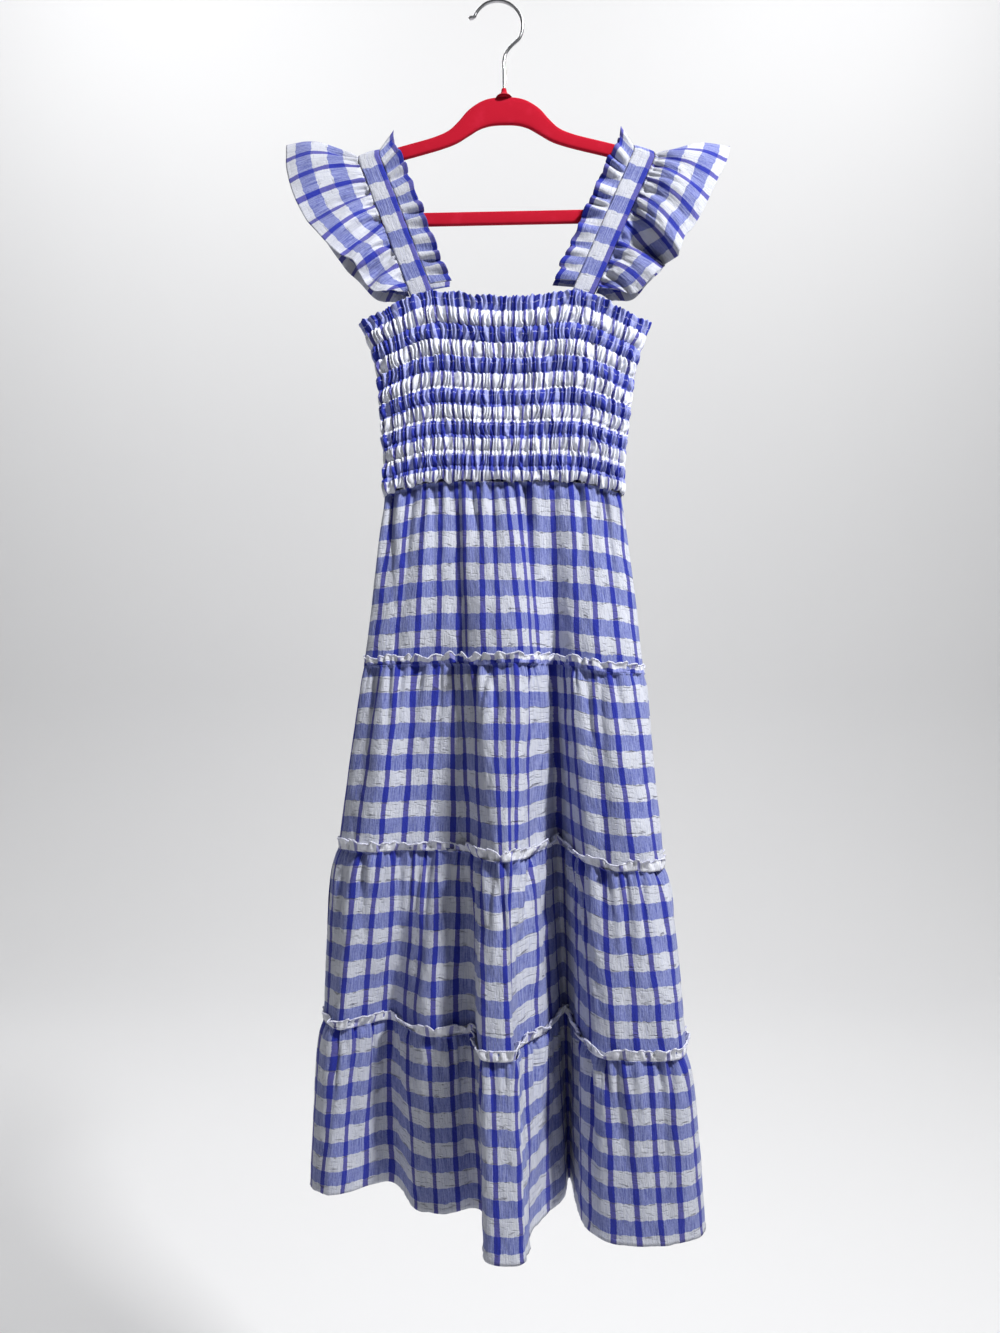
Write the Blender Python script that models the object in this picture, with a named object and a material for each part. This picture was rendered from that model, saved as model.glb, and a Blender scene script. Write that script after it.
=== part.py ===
"""A girl's maxi dress hanging on a flocked hanger.

The dress is a smocked bodice on two shoulder straps, each with a gathered frill towards the
neck and a gathered sleeve ruffle outside it, over a skirt of four gathered tiers. Every
seam of the skirt has a narrow heading frill standing above it. The hanger is a flat moulded
loop with a wire hook.

Axes: X to the viewer's right, Y away from the viewer, Z up. The origin is the inner top of
the hook's wire, where the hanger hangs. Sizes are in millimetres and become metres when a
mesh is made.
"""

import math
from collections import namedtuple

import bmesh
import bpy
import numpy as np

MM = 0.001

# Cloth
CLOTH = 1.4
FRILL_CLOTH = 1.0
SEAM_GAP = 0.3

# Bodice
BODICE_DEPTH = 12.0
OVAL_POWER = 2.6
TOP_LIFT = 8.0
BOTTOM_LIFT = 2.0
LIFT_X = 68.0
LIFT_SPREAD = 32.0
ELASTIC_ROWS = 12
FRONT_RIBS = 20
BACK_RIBS = 18
RIB_RELIEF = 2.4
HEADING_SHARE = 0.075

# Skirt
PUFF = 2.0
VALLEY_CALM = 0.07
GATHER_DEPTH = 2.2
GATHERS_FRONT = 10
GATHERS_BACK = 8
COLUMN_WIDTH = 17.0
HEADING_HEIGHT = 8.0
HEADING_RISE = 2.4
HEADING_WAVES = 4

# Straps, frills and sleeve ruffles
STRAP_WIDTH = 20.0
STRAP_CLOTH = 1.5
STRAP_REACH = 8.6
STRAP_TUCK = 9.0
STRAP_CLEAR = 1.6
EDGE_GAP = 0.55
FOOT_SHARE = 0.042
FRILL_WIDTH = 19.0
FRILL_WAVES = 18
FRILL_DEPTH = 3.2

# Hanger
HANGER_THICK = 5.6
HANGER_TILT = 0.0205
BAR_Z = -200.0
BAR_HEIGHT = 11.9
END_X = 176.0
HOOK_WIRE = 1.55
HOOK_RADIUS = 23.25
HOOK_CENTRE = (-6.0, -21.1)

# Height of each seam, how far it sags at the sides and on the right, and how far the tier
# that starts there swells out at its two sides
Level = namedtuple("Level", "name z side_sag right_drop side_puff")
LEVELS = (
    Level("waist", -447.0, 11.0, 0.0, 0.5),
    Level("seam_1", -613.5, 2.0, 7.0, 1.5),
    Level("seam_2", -783.0, 0.0, 11.0, 6.5),
    Level("seam_3", -942.5, 0.0, 5.5, 5.5),
    Level("hem", -1098.0, 0.0, 5.0, 0.0),
)

# Height from the waist as a share, half widths, and how far the sides droop below the middle
Girth = namedtuple("Girth", "share left right droop")
BODICE_GIRTHS = (
    Girth(0.00, 111.5, 111.0, 11.0),
    Girth(0.25, 112.0, 112.5, 12.0),
    Girth(0.50, 115.0, 117.0, 14.0),
    Girth(0.75, 119.5, 122.5, 17.0),
    Girth(0.90, 127.0, 130.0, 19.0),
    Girth(1.00, 134.0, 136.0, 21.0),
)
BODICE_TOP = -278.0

# Where each lengthwise fold of the skirt stands at each seam, as (x, y), front then back
Fold = namedtuple("Fold", "name seam_1 seam_2 seam_3 hem")
FRONT_FOLDS = (
    Fold("left_seam", (-130, -2), (-153, -4), (-167, -4), (-180, 0)),
    Fold("left_lobe", (-114, -14), (-134, -28), (-148, -32), (-163, -20)),
    Fold("left_lobe_inner", (-98, -20), (-113, -34), (-128, -20), (-140, -14)),
    Fold("recess", (-82, -18), (-93, -24), (-106, -4), (-105, 3)),
    Fold("mid_lobe_rise", (-70, -18), (-78, -22), (-88, -28), (-78, -43)),
    Fold("mid_lobe", (-58, -20), (-66, -23), (-70, -49), (-62, -54)),
    Fold("mid_lobe_inner", (-48, -22), (-49, -26), (-51, -51), (-44, -50)),
    Fold("pleat_root", (-40, -24), (-34, -30), (-30, -42), (-23, -46)),
    Fold("pleat_left_edge", (-31, -36), (-24, -58), (-18, -101), (-14, -124)),
    Fold("pleat_face", (-18, -44), (-10, -76), (-4, -106), (2, -130)),
    Fold("pleat_right_edge", (1, -48), (4, -78), (10, -104), (16, -127)),
    Fold("pleat_turn", (19, -44), (17, -60), (15, -70), (22, -104)),
    Fold("pleat_side", (29, -34), (28, -34), (32, -49), (27, -75)),
    Fold("pleat_back_edge", (38, -20), (41, -6), (47, -12), (54, -22)),
    Fold("valley", (46, -8), (51, 14), (58, 16), (62, 16)),
    Fold("right_lobe_edge", (54, -18), (63, -26), (67, -49), (66, -57)),
    Fold("right_lobe_rise", (63, -30), (71, -48), (77, -80), (81, -84)),
    Fold("right_lobe", (80, -38), (95, -64), (104, -92), (118, -93)),
    Fold("right_lobe_outer", (98, -38), (117, -66), (134, -92), (145, -90)),
    Fold("right_turn", (114, -32), (132, -60), (148, -88), (166, -80)),
    Fold("right_seam", (128, -16), (142, -44), (157, -70), (175, -62)),
)
BACK_FOLDS = (
    Fold("right_side", (130, -6), (144, -24), (158, -40), (172, -30)),
    Fold("right_ridge", (122, 8), (136, 6), (148, 4), (160, 12)),
    Fold("right_valley", (106, 8), (118, 2), (130, -2), (140, -4)),
    Fold("ridge_1", (88, 13), (98, 16), (108, 20), (118, 24)),
    Fold("valley_1", (70, 8), (78, 2), (86, -2), (92, -4)),
    Fold("ridge_2", (48, 14), (52, 25), (58, 28), (62, 30)),
    Fold("valley_2", (27, 9), (30, 4), (32, 0), (34, -2)),
    Fold("ridge_3", (7, 14), (8, 19), (10, 23), (12, 26)),
    Fold("valley_3", (-13, 9), (-14, 4), (-15, 0), (-16, -6)),
    Fold("ridge_4", (-34, 14), (-38, 19), (-41, 23), (-44, 26)),
    Fold("valley_4", (-54, 9), (-60, 4), (-66, 0), (-72, -4)),
    Fold("ridge_5", (-79, 14), (-88, 20), (-96, 24), (-100, 27)),
    Fold("left_valley", (-97, 9), (-108, 8), (-118, 6), (-126, 6)),
    Fold("left_ridge", (-114, 12), (-128, 18), (-140, 22), (-152, 24)),
    Fold("left_side", (-126, 7), (-147, 12), (-160, 14), (-172, 16)),
)

# Where each strap's middle line stands at its foot and on the hanger's arm, x and z
StrapLine = namedtuple("StrapLine", "name side foot_x foot_z arm_x")
STRAPS = (
    StrapLine("left", -1, -77.2, -270.0, -124.6),
    StrapLine("right", 1, 74.9, -267.0, 129.3),
)

# A sleeve ruffle's folds: the share along the strap from front foot to back foot, where the
# hem is, and how far the middle of the fold stands off the straight line to it
Flute = namedtuple("Flute", "share x y z bulge_y bulge_z")
RUFFLES = {
    "left": (
        Flute(0.00, -99, -17, -273, 0, 0),
        Flute(0.07, -119, -24, -275, -3, 2),
        Flute(0.12, -128, -14, -264, 3, 0),
        Flute(0.18, -136, -30, -251, -4, 2),
        Flute(0.25, -150, -24, -242, 2, 0),
        Flute(0.29, -160, -34, -235, -4, 2),
        Flute(0.35, -178, -24, -213, -2, 2),
        Flute(0.42, -193, -22, -184, -3, 3),
        Flute(0.47, -200, -13, -157, -4, 6),
        Flute(0.50, -202, 0, -132, 0, 8),
        Flute(0.53, -200, 13, -157, 4, 6),
        Flute(0.58, -189, 22, -184, 3, 3),
        Flute(0.65, -171, 18, -211, 0, 2),
        Flute(0.72, -152, 28, -236, 4, 2),
        Flute(0.80, -138, 17, -252, -1, 0),
        Flute(0.88, -122, 27, -266, 3, 2),
        Flute(0.94, -110, 19, -271, 0, 1),
        Flute(1.00, -99, 17, -271, 0, 0),
    ),
    "right": (
        Flute(0.00, 105, -17, -273, 0, 0),
        Flute(0.06, 119, -23, -278, -3, 2),
        Flute(0.12, 134, -27, -264, -3, 3),
        Flute(0.17, 146, -23, -253, 0, 2),
        Flute(0.22, 145, -8, -248, 4, 0),
        Flute(0.28, 155, -38, -249, -6, 1),
        Flute(0.33, 162, -33, -231, -5, 3),
        Flute(0.37, 171, -31, -220, -4, 4),
        Flute(0.42, 183, -27, -198, -4, 4),
        Flute(0.46, 194, -19, -174, -4, 5),
        Flute(0.48, 205, -11, -151, -3, 6),
        Flute(0.50, 210, 0, -133, 0, 8),
        Flute(0.53, 201, 13, -158, 4, 6),
        Flute(0.58, 186, 23, -185, 3, 3),
        Flute(0.66, 168, 17, -212, 0, 2),
        Flute(0.73, 152, 28, -236, 4, 2),
        Flute(0.81, 138, 17, -252, -1, 0),
        Flute(0.88, 124, 26, -266, 3, 2),
        Flute(0.94, 112, 19, -270, 0, 1),
        Flute(1.00, 101, 17, -270, 0, 0),
    ),
}

# The hanger's right half: middle line and height of the moulding across it
Station = namedtuple("Station", "x z height")
HANGER_ARM = (
    Station(0.0, -100.6, 25.1),
    Station(14.0, -101.8, 24.4),
    Station(26.0, -107.0, 21.0),
    Station(36.5, -115.4, 16.4),
    Station(47.0, -123.2, 13.6),
    Station(60.0, -128.6, 12.2),
    Station(94.0, -137.8, 11.9),
    Station(130.0, -147.3, 11.8),
    Station(156.0, -154.4, 11.6),
)

BLUE = (0.33, 0.36, 0.68)
PALE = (0.50, 0.52, 0.76)
RED = (0.50, 0.008, 0.035)
STEEL = (0.62, 0.62, 0.63)


def material(name, colour, roughness, metallic=0.0):
    made = bpy.data.materials.new(name)
    made.use_nodes = True
    shader = made.node_tree.nodes["Principled BSDF"]
    shader.inputs["Base Color"].default_value = (*colour, 1.0)
    shader.inputs["Roughness"].default_value = roughness
    shader.inputs["Metallic"].default_value = metallic
    return made


def smooth_rows(values, at, knots=None):
    """Rows of numbers read at any place between them, on a smooth line through the rows."""
    values = np.asarray(values, float)
    knots = np.arange(len(values), dtype=float) if knots is None else np.asarray(knots, float)
    at = np.clip(np.asarray(at, float), knots[0], knots[-1])
    slopes = np.gradient(values, knots, axis=0)
    low = np.clip(np.searchsorted(knots, at, side="right") - 1, 0, len(knots) - 2)
    span = knots[low + 1] - knots[low]
    share = (at - knots[low]) / span
    wide = (...,) + (None,) * (values.ndim - 1)
    share, span = share[wide], span[wide]
    square, cube = share**2, share**3
    return (
        (2 * cube - 3 * square + 1) * values[low]
        + (cube - 2 * square + share) * span * slopes[low]
        + (3 * square - 2 * cube) * values[low + 1]
        + (cube - square) * span * slopes[low + 1]
    )


def ring_path(points, segment, share):
    """Closed smooth lines through the points of each row, read at a share of each segment.

    It returns the places and the directions along the lines.
    """
    count = points.shape[1]
    before, start, end, after = (points[:, (segment + k) % count] for k in (-1, 0, 1, 2))
    first = np.sqrt(np.linalg.norm(start - before, axis=-1, keepdims=True))
    middle = np.sqrt(np.linalg.norm(end - start, axis=-1, keepdims=True))
    last = np.sqrt(np.linalg.norm(after - end, axis=-1, keepdims=True))
    leave = middle * (
        (start - before) / first - (end - before) / (first + middle) + (end - start) / middle
    )
    arrive = middle * (
        (end - start) / middle - (after - start) / (middle + last) + (after - end) / last
    )
    f = share[None, :, None]
    place = (
        (2 * f**3 - 3 * f**2 + 1) * start
        + (f**3 - 2 * f**2 + f) * leave
        + (3 * f**2 - 2 * f**3) * end
        + (f**3 - f**2) * arrive
    )
    along = (
        (6 * f**2 - 6 * f) * start
        + (3 * f**2 - 4 * f + 1) * leave
        + (6 * f - 6 * f**2) * end
        + (3 * f**2 - 2 * f) * arrive
    )
    return place, along / np.linalg.norm(along, axis=-1, keepdims=True)


def grid_normals(grid):
    """Unit normals of a grid of points, on the side of its second direction cross its first."""
    normal = np.cross(np.gradient(grid, axis=1), np.gradient(grid, axis=0))
    return normal / np.linalg.norm(normal, axis=-1, keepdims=True)


def trimmed(grid):
    """The grid with its first and last columns drawn in by half of the gap at a seam."""
    grid = grid.copy()
    for edge, inside in ((0, 1), (-1, -2)):
        step = grid[inside] - grid[edge]
        step /= np.linalg.norm(step, axis=-1, keepdims=True)
        grid[edge] += step * SEAM_GAP / 2
    return grid


def strip_faces(first, second):
    """Triangles between two lines of points whose counts may differ."""
    faces = []
    i = j = 0
    while i < len(first) - 1 or j < len(second) - 1:
        step_first = (i + 1) / (len(first) - 1)
        step_second = (j + 1) / (len(second) - 1)
        if step_first <= step_second:
            faces.append((first[i], first[i + 1], second[j]))
            i += 1
        else:
            faces.append((first[i], second[j + 1], second[j]))
            j += 1
    return faces


def grid_faces(index):
    """Quads over a grid of point numbers."""
    corners = (index[:-1, :-1], index[:-1, 1:], index[1:, 1:], index[1:, :-1])
    return np.stack([corner.ravel() for corner in corners], axis=1).tolist()


def make_object(name, points, faces, finish):
    """One closed object from points in millimetres, with its faces turned outwards."""
    mesh = bpy.data.meshes.new(name)
    mesh.from_pydata((np.asarray(points) * MM).tolist(), [], [tuple(face) for face in faces])
    work = bmesh.new()
    work.from_mesh(mesh)
    bmesh.ops.triangulate(work, faces=work.faces[:])
    bmesh.ops.recalc_face_normals(work, faces=work.faces[:])
    work.to_mesh(mesh)
    work.free()
    mesh.shade_smooth()
    mesh.set_sharp_from_angle(angle=math.radians(50.0))
    mesh.materials.append(finish)
    made = bpy.data.objects.new(name, mesh)
    bpy.context.collection.objects.link(made)
    return made


def make_wall(name, outer, inner, finish):
    """A cloth wall: an outer and an inner grid of points joined round their four sides."""
    outer_index = np.arange(outer.shape[0] * outer.shape[1]).reshape(outer.shape[:2])
    inner_index = outer_index.size + np.arange(inner.shape[0] * inner.shape[1]).reshape(
        inner.shape[:2]
    )
    faces = grid_faces(outer_index) + grid_faces(inner_index)
    for side in (np.s_[0, :], np.s_[-1, :], np.s_[:, 0], np.s_[:, -1]):
        faces += strip_faces(outer_index[side].tolist(), inner_index[side].tolist())
    points = np.concatenate([outer.reshape(-1, 3), inner.reshape(-1, 3)])
    return make_object(name, points, faces, finish)


def oval_points(share, left, right, depth):
    """Half an oval from left to right at the shares of its length, bulging along Y."""
    angle = np.linspace(math.pi, 0.0, 161)
    cosine, sine = np.cos(angle), np.sin(angle)
    reach = (right + left) / 2
    x = (right - left) / 2 + reach * np.sign(cosine) * np.abs(cosine) ** (2 / OVAL_POWER)
    y = depth * np.abs(sine) ** (2 / OVAL_POWER)
    length = np.concatenate([[0.0], np.cumsum(np.hypot(np.diff(x), np.diff(y)))])
    share = np.asarray(share) * length[-1]
    return np.stack([np.interp(share, length, x), np.interp(share, length, y)], axis=-1)


def bodice_height(x, share):
    """Z on the bodice: rows rise under the straps and droop to the sides."""
    droop = smooth_rows([g.droop for g in BODICE_GIRTHS], share, [g.share for g in BODICE_GIRTHS])
    half = smooth_rows([g.left for g in BODICE_GIRTHS], share, [g.share for g in BODICE_GIRTHS])
    lift = BOTTOM_LIFT + (TOP_LIFT - BOTTOM_LIFT) * share
    bumps = sum(np.exp(-(((x - side * LIFT_X) / LIFT_SPREAD) ** 2)) for side in (-1, 1))
    middle = LEVELS[0].z + (BODICE_TOP - LEVELS[0].z) * share
    return middle + lift * bumps - droop * np.abs(x / half) ** 3


def bodice_grid(across, up, depth):
    """Points of the bodice's plain surface, from left to right and from the waist up."""
    across, up = np.asarray(across), np.asarray(up)
    knots = [girth.share for girth in BODICE_GIRTHS]
    left = smooth_rows([girth.left for girth in BODICE_GIRTHS], up, knots)
    right = smooth_rows([girth.right for girth in BODICE_GIRTHS], up, knots)
    plan = np.stack([oval_points(across, *ends, depth) for ends in zip(left, right)], axis=1)
    height = bodice_height(plan[..., 0], up[None, :] + 0 * across[:, None])
    return np.concatenate([plan, height[..., None]], axis=-1)


def plan_outward(grid):
    """Unit directions in plan that point out of a half oval."""
    along = np.gradient(grid[..., :2], axis=0)
    side = np.sign(np.mean(grid[..., 1]))
    out = np.stack([-side * along[..., 1], side * along[..., 0], 0 * along[..., 0]], axis=-1)
    out[0], out[-1] = (-1.0, 0.0, 0.0), (1.0, 0.0, 0.0)
    return out / np.linalg.norm(out, axis=-1, keepdims=True)


def elastic_rows():
    """Shares of the bodice's height at the rows of elastic and half way between them."""
    rows = np.linspace(0.0, 1.0 - HEADING_SHARE, 2 * ELASTIC_ROWS - 1)
    return np.concatenate([rows, [1.0]])


def build_bodice(name, sign, ribs, finish):
    """Smocked half of the bodice: ribs puff between the elastic rows over a plain inside."""
    across = np.linspace(0.0, 1.0, 2 * ribs + 1)
    up = elastic_rows()
    outer = bodice_grid(across, up, sign * BODICE_DEPTH)
    outer[:, 0, 2] += SEAM_GAP / 2
    crest = np.arange(len(across)) % 2
    puff = np.where(np.arange(len(up)) % 2 == 1, 1.0, 0.3)
    puff[-1] = 0.9
    outer += plan_outward(outer) * (RIB_RELIEF * crest[:, None] * puff)[..., None]
    inner_up = np.linspace(up[0], 1.0, 5)
    inner = bodice_grid(across[::2], inner_up, sign * BODICE_DEPTH)
    inner[:, 0, 2] += SEAM_GAP / 2
    inner -= plan_outward(inner) * CLOTH
    return make_wall(name, trimmed(outer), trimmed(inner), finish)


def plan_shares(points):
    """Shares of length at the points of an open line."""
    steps = np.linalg.norm(np.diff(points, axis=0), axis=-1)
    return np.concatenate([[0.0], np.cumsum(steps)]) / steps.sum()


def skirt_folds():
    """The folds' places at the five levels as (level, fold, xy), all round from the left seam."""
    rows = [np.array([fold[1:] for fold in folds], float) for folds in (FRONT_FOLDS, BACK_FOLDS)]
    ring = np.concatenate(rows).transpose(1, 0, 2)
    front_count = len(FRONT_FOLDS)
    base = BODICE_GIRTHS[0]
    front = oval_points(plan_shares(ring[0, :front_count]), base.left, base.right, -BODICE_DEPTH)
    back_line = np.concatenate([ring[0, front_count - 1 :], ring[0, :1]])
    back_share = 1.0 - plan_shares(back_line)[1:-1]
    back = oval_points(back_share, base.left, base.right, BODICE_DEPTH)
    return np.concatenate([np.concatenate([front, back])[None], ring])


def panel_columns(folds, is_front):
    """Segment numbers and shares of the columns of a panel, closer where a segment is long."""
    count = folds.shape[1]
    front_count = len(FRONT_FOLDS)
    first, last = (0, front_count - 1) if is_front else (front_count - 1, count)
    hem = folds[-1]
    segments, shares = [], []
    for segment in range(first, last):
        length = np.linalg.norm(hem[(segment + 1) % count] - hem[segment])
        steps = int(np.clip(round(length / COLUMN_WIDTH), 1, 3))
        segments += [segment] * steps
        shares += [step / steps for step in range(steps)]
    segments.append(last - 1)
    shares.append(1.0)
    return np.array(segments), np.array(shares)


def level_height(x, number):
    """Z of a seam of the skirt at the places x."""
    level = LEVELS[number]
    turn = np.clip((x - 45.0) / 50.0, 0.0, 1.0)
    drop = level.right_drop * turn * turn * (3 - 2 * turn)
    reach = BODICE_GIRTHS[0].left
    if number == 0:
        return bodice_height(x, np.zeros_like(x))
    return level.z - level.side_sag * (x / reach) ** 2 - drop


def tier_grid(folds, tier, is_front, down):
    """Outer points of one panel of a tier and the directions out of it, from its top down."""
    segment, share = panel_columns(folds, is_front)
    points = smooth_rows(folds, tier + down)
    place, along = ring_path(points, segment, share)
    out = np.stack([along[..., 1], -along[..., 0]], axis=-1)
    middle = ring_path(smooth_rows(folds, np.array([tier + 0.5])), segment, share)[0][0]
    cloth = plan_shares(middle)
    waves = GATHERS_FRONT if is_front else GATHERS_BACK
    fade = (np.exp(-down / 0.3) * np.clip(down / 0.06, 0, 1))[:, None]
    calm = np.clip(np.minimum(cloth, 1 - cloth) / 0.04, 0, 1)
    if is_front:
        valley = cloth[segment == [fold.name for fold in FRONT_FOLDS].index("valley")][0]
        calm = calm * np.clip(np.abs(cloth - valley) / VALLEY_CALM, 0, 1)
    swell = fade * calm * (PUFF + GATHER_DEPTH * np.cos(2 * math.pi * waves * cloth))
    half = np.abs(place[..., 0]).max(axis=1, keepdims=True)
    rise = ((1 - np.exp(-down / 0.08)) * (1 - down) ** 0.8)[:, None]
    swell += LEVELS[tier].side_puff * rise * (np.abs(place[..., 0]) / half) ** 4
    place = place + out * swell[..., None]
    top, bottom = level_height(place[..., 0], tier), level_height(place[..., 0], tier + 1)
    height = top + (bottom - top) * down[:, None]
    height[0] -= SEAM_GAP / 2
    if tier + 1 < len(LEVELS) - 1:
        height[-1] += SEAM_GAP / 2
    grid = np.concatenate([place, height[..., None]], axis=-1).transpose(1, 0, 2)
    outward = np.concatenate([out, 0 * height[..., None]], axis=-1).transpose(1, 0, 2)
    return grid, outward


def build_skirt(finishes):
    """Four tiers of a front and a back panel, and the heading frill on each lower seam."""
    folds = skirt_folds()
    for tier in range(4):
        length = LEVELS[tier].z - LEVELS[tier + 1].z
        heading = 1.0 - (HEADING_HEIGHT + 1.0) / length
        down = np.array([0.0, 0.1, 0.35, 0.68, heading, 1.0])
        for side, is_front in (("front", True), ("back", False)):
            outer, outward = tier_grid(folds, tier, is_front, down)
            inner = (outer - outward * CLOTH)[:, [0, 1, 3, 5]]
            name = f"tier_{tier + 1}_{side}"
            make_wall(name, trimmed(outer), trimmed(inner), finishes[side])
            if tier < 3:
                name = f"seam_frill_{tier + 1}_{side}"
                build_heading(name, outer[:, 4:], outward[:, 4:], finishes["frill"])


def build_heading(name, panel, outward, finish):
    """The next tier's raw heading, standing in waves on the bottom of the panel above it."""
    low = panel[:, 1] + (panel[:, 0] - panel[:, 1]) * 0.06
    high = panel[:, 1] + (panel[:, 0] - panel[:, 1]) * 0.94
    base = np.stack([high, low], axis=1)
    number = np.arange(len(panel))
    wave = HEADING_RISE * (0.5 - 0.5 * np.cos(2 * math.pi * HEADING_WAVES * number / number[-1]))
    lift = np.stack([wave, 0.25 * wave], axis=1)[..., None]
    inner = base + outward * (SEAM_GAP + lift)
    outer = inner + outward * FRILL_CLOTH
    return make_wall(name, trimmed(outer), trimmed(inner), finish)


def arm_top(x):
    """Height of the upper edge of the hanger's arm at x."""
    reach = [station.x for station in HANGER_ARM]
    upper = [station.z + station.height / 2 for station in HANGER_ARM]
    return np.interp(abs(x), reach, upper) + HANGER_TILT * x


def strap_frame(strap, share):
    """Places along a strap's middle line, from front foot over the arm to back foot.

    It returns the places, the direction across the strap away from the neck, and the
    direction out of the cloth.
    """
    radius = STRAP_REACH - STRAP_CLOTH / 2
    across = np.array([strap.side, 0.0, -0.31])
    across /= np.linalg.norm(across)
    crown = arm_top(strap.arm_x) + STRAP_CLEAR + STRAP_CLOTH / 2
    base = crown - radius
    leg = base - (strap.foot_z - STRAP_TUCK)
    lean = strap.arm_x - strap.foot_x
    foot_x = strap.foot_x - lean * STRAP_TUCK / (base - strap.foot_z)
    run = math.hypot(leg, strap.arm_x - foot_x)
    arch = math.pi * radius
    at = np.asarray(share) * (2 * run + arch)
    up = np.clip(at / run, 0, 1) - np.clip((at - run - arch) / run, 0, 1)
    turn = np.clip((at - run) / arch, 0, 1) * math.pi
    place = np.stack(
        [
            foot_x + (strap.arm_x - foot_x) * up,
            -radius * np.cos(turn),
            strap.foot_z - STRAP_TUCK + leg * up + radius * np.sin(turn),
        ],
        axis=-1,
    )
    outward = np.stack([0 * turn, -np.cos(turn), np.sin(turn)], axis=-1)
    return place, across, outward


def strap_shares():
    """Shares along a strap: few on the legs, closer over the arm."""
    leg = np.linspace(0.0, 0.455, 8)
    arch = np.linspace(0.475, 0.525, 5)
    return np.concatenate([leg, arch, 1.0 - leg[::-1]])


def build_strap(strap, finish):
    """A plain double strip over the hanger's arm, its ends tucked inside the bodice."""
    place, across, outward = strap_frame(strap, strap_shares())
    half = STRAP_WIDTH / 2
    outer = np.stack([place - across * half, place + across * half], axis=1)
    outer = outer + outward[:, None] * STRAP_CLOTH / 2
    inner = outer - outward[:, None] * STRAP_CLOTH
    return make_wall(f"strap_{strap.name}", outer, inner, finish)


def cloth_halves(grid, across, thickness):
    """Half of a cloth's thickness at each point of a grid, square to the strap at its root."""
    half = grid_normals(grid) * thickness / 2
    half[:, 0] -= (half[:, 0] @ across)[:, None] * across
    return half


def build_frill(strap, finish):
    """The gathered frill on the strap's edge towards the neck."""
    share = np.linspace(FOOT_SHARE, 1 - FOOT_SHARE, 3 * FRILL_WAVES + 1)
    place, across, outward = strap_frame(strap, share)
    edge = place - across * (STRAP_WIDTH / 2 + EDGE_GAP)
    rise = np.radians(44.0 * np.exp(-(((share - 0.5) / 0.16) ** 2)) + 8.0)
    inward = np.stack([-strap.side * np.cos(rise), 0 * rise, np.sin(rise)], axis=-1)
    wave = FRILL_DEPTH * np.cos(2 * math.pi * FRILL_WAVES * np.linspace(0, 1, len(share)))
    reach = np.array([0.0, 0.5, 1.0])
    grid = edge[:, None] + inward[:, None] * FRILL_WIDTH * reach[None, :, None]
    grid = grid + outward[:, None] * (wave[:, None] * reach[None, :])[..., None]
    half = cloth_halves(grid, across, FRILL_CLOTH)
    return make_wall(f"inner_frill_{strap.name}", grid + half, grid - half, finish)


def ruffle_grid(strap, along, reach):
    """Points of a sleeve ruffle: from the strap's outer edge through each fold to the hem."""
    flutes = RUFFLES[strap.name]
    knots = [flute.share for flute in flutes]
    table = np.array([flute[1:] for flute in flutes], float)
    read = smooth_rows(table, along, knots)
    hem, bulge = read[:, :3], np.pad(read[:, 3:], ((0, 0), (1, 0)))
    place, across, _ = strap_frame(strap, FOOT_SHARE + (1 - 2 * FOOT_SHARE) * along)
    root = place + across * (STRAP_WIDTH / 2 + EDGE_GAP)
    r = reach[None, :, None]
    straight = root[:, None] * (1 - r) + hem[:, None] * r
    return straight + bulge[:, None] * 4 * r * (1 - r)


def build_ruffle(strap, finish):
    """The gathered sleeve ruffle outside a strap, open below and over the hanger's arm."""
    flutes = RUFFLES[strap.name]
    shares = np.array([flute.share for flute in flutes])
    along = np.sort(np.concatenate([shares, (shares[1:] + shares[:-1]) / 2]))
    grid = ruffle_grid(strap, along, np.array([0.0, 0.18, 0.45, 0.75, 1.0]))
    across = strap_frame(strap, along)[1]
    half = cloth_halves(grid, across, CLOTH)
    return make_wall(f"sleeve_ruffle_{strap.name}", grid + half, grid - half, finish)


def hanger_loop():
    """The hanger's closed middle line with the moulding's height at each station."""
    arm = np.array(HANGER_ARM)
    low = arm[-1]
    radius = (low[1] - BAR_Z) / 2
    turn = np.radians(np.linspace(68.0, -68.0, 7))
    end = np.stack(
        [
            END_X - BAR_HEIGHT / 2 - radius + radius * np.cos(turn),
            (low[1] + BAR_Z) / 2 + radius * np.sin(turn) * 0.98,
            np.full(len(turn), BAR_HEIGHT - 1.0),
        ],
        axis=1,
    )
    bar_x = np.array([140.0, 95.0, 45.0, 0.0])
    bar = np.stack([bar_x, np.full(4, BAR_Z), np.full(4, BAR_HEIGHT)], axis=1)
    half = np.concatenate([arm, end, bar])
    mirrored = half[1:-1][::-1] * np.array([-1.0, 1.0, 1.0])
    return np.concatenate([half, mirrored])


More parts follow.
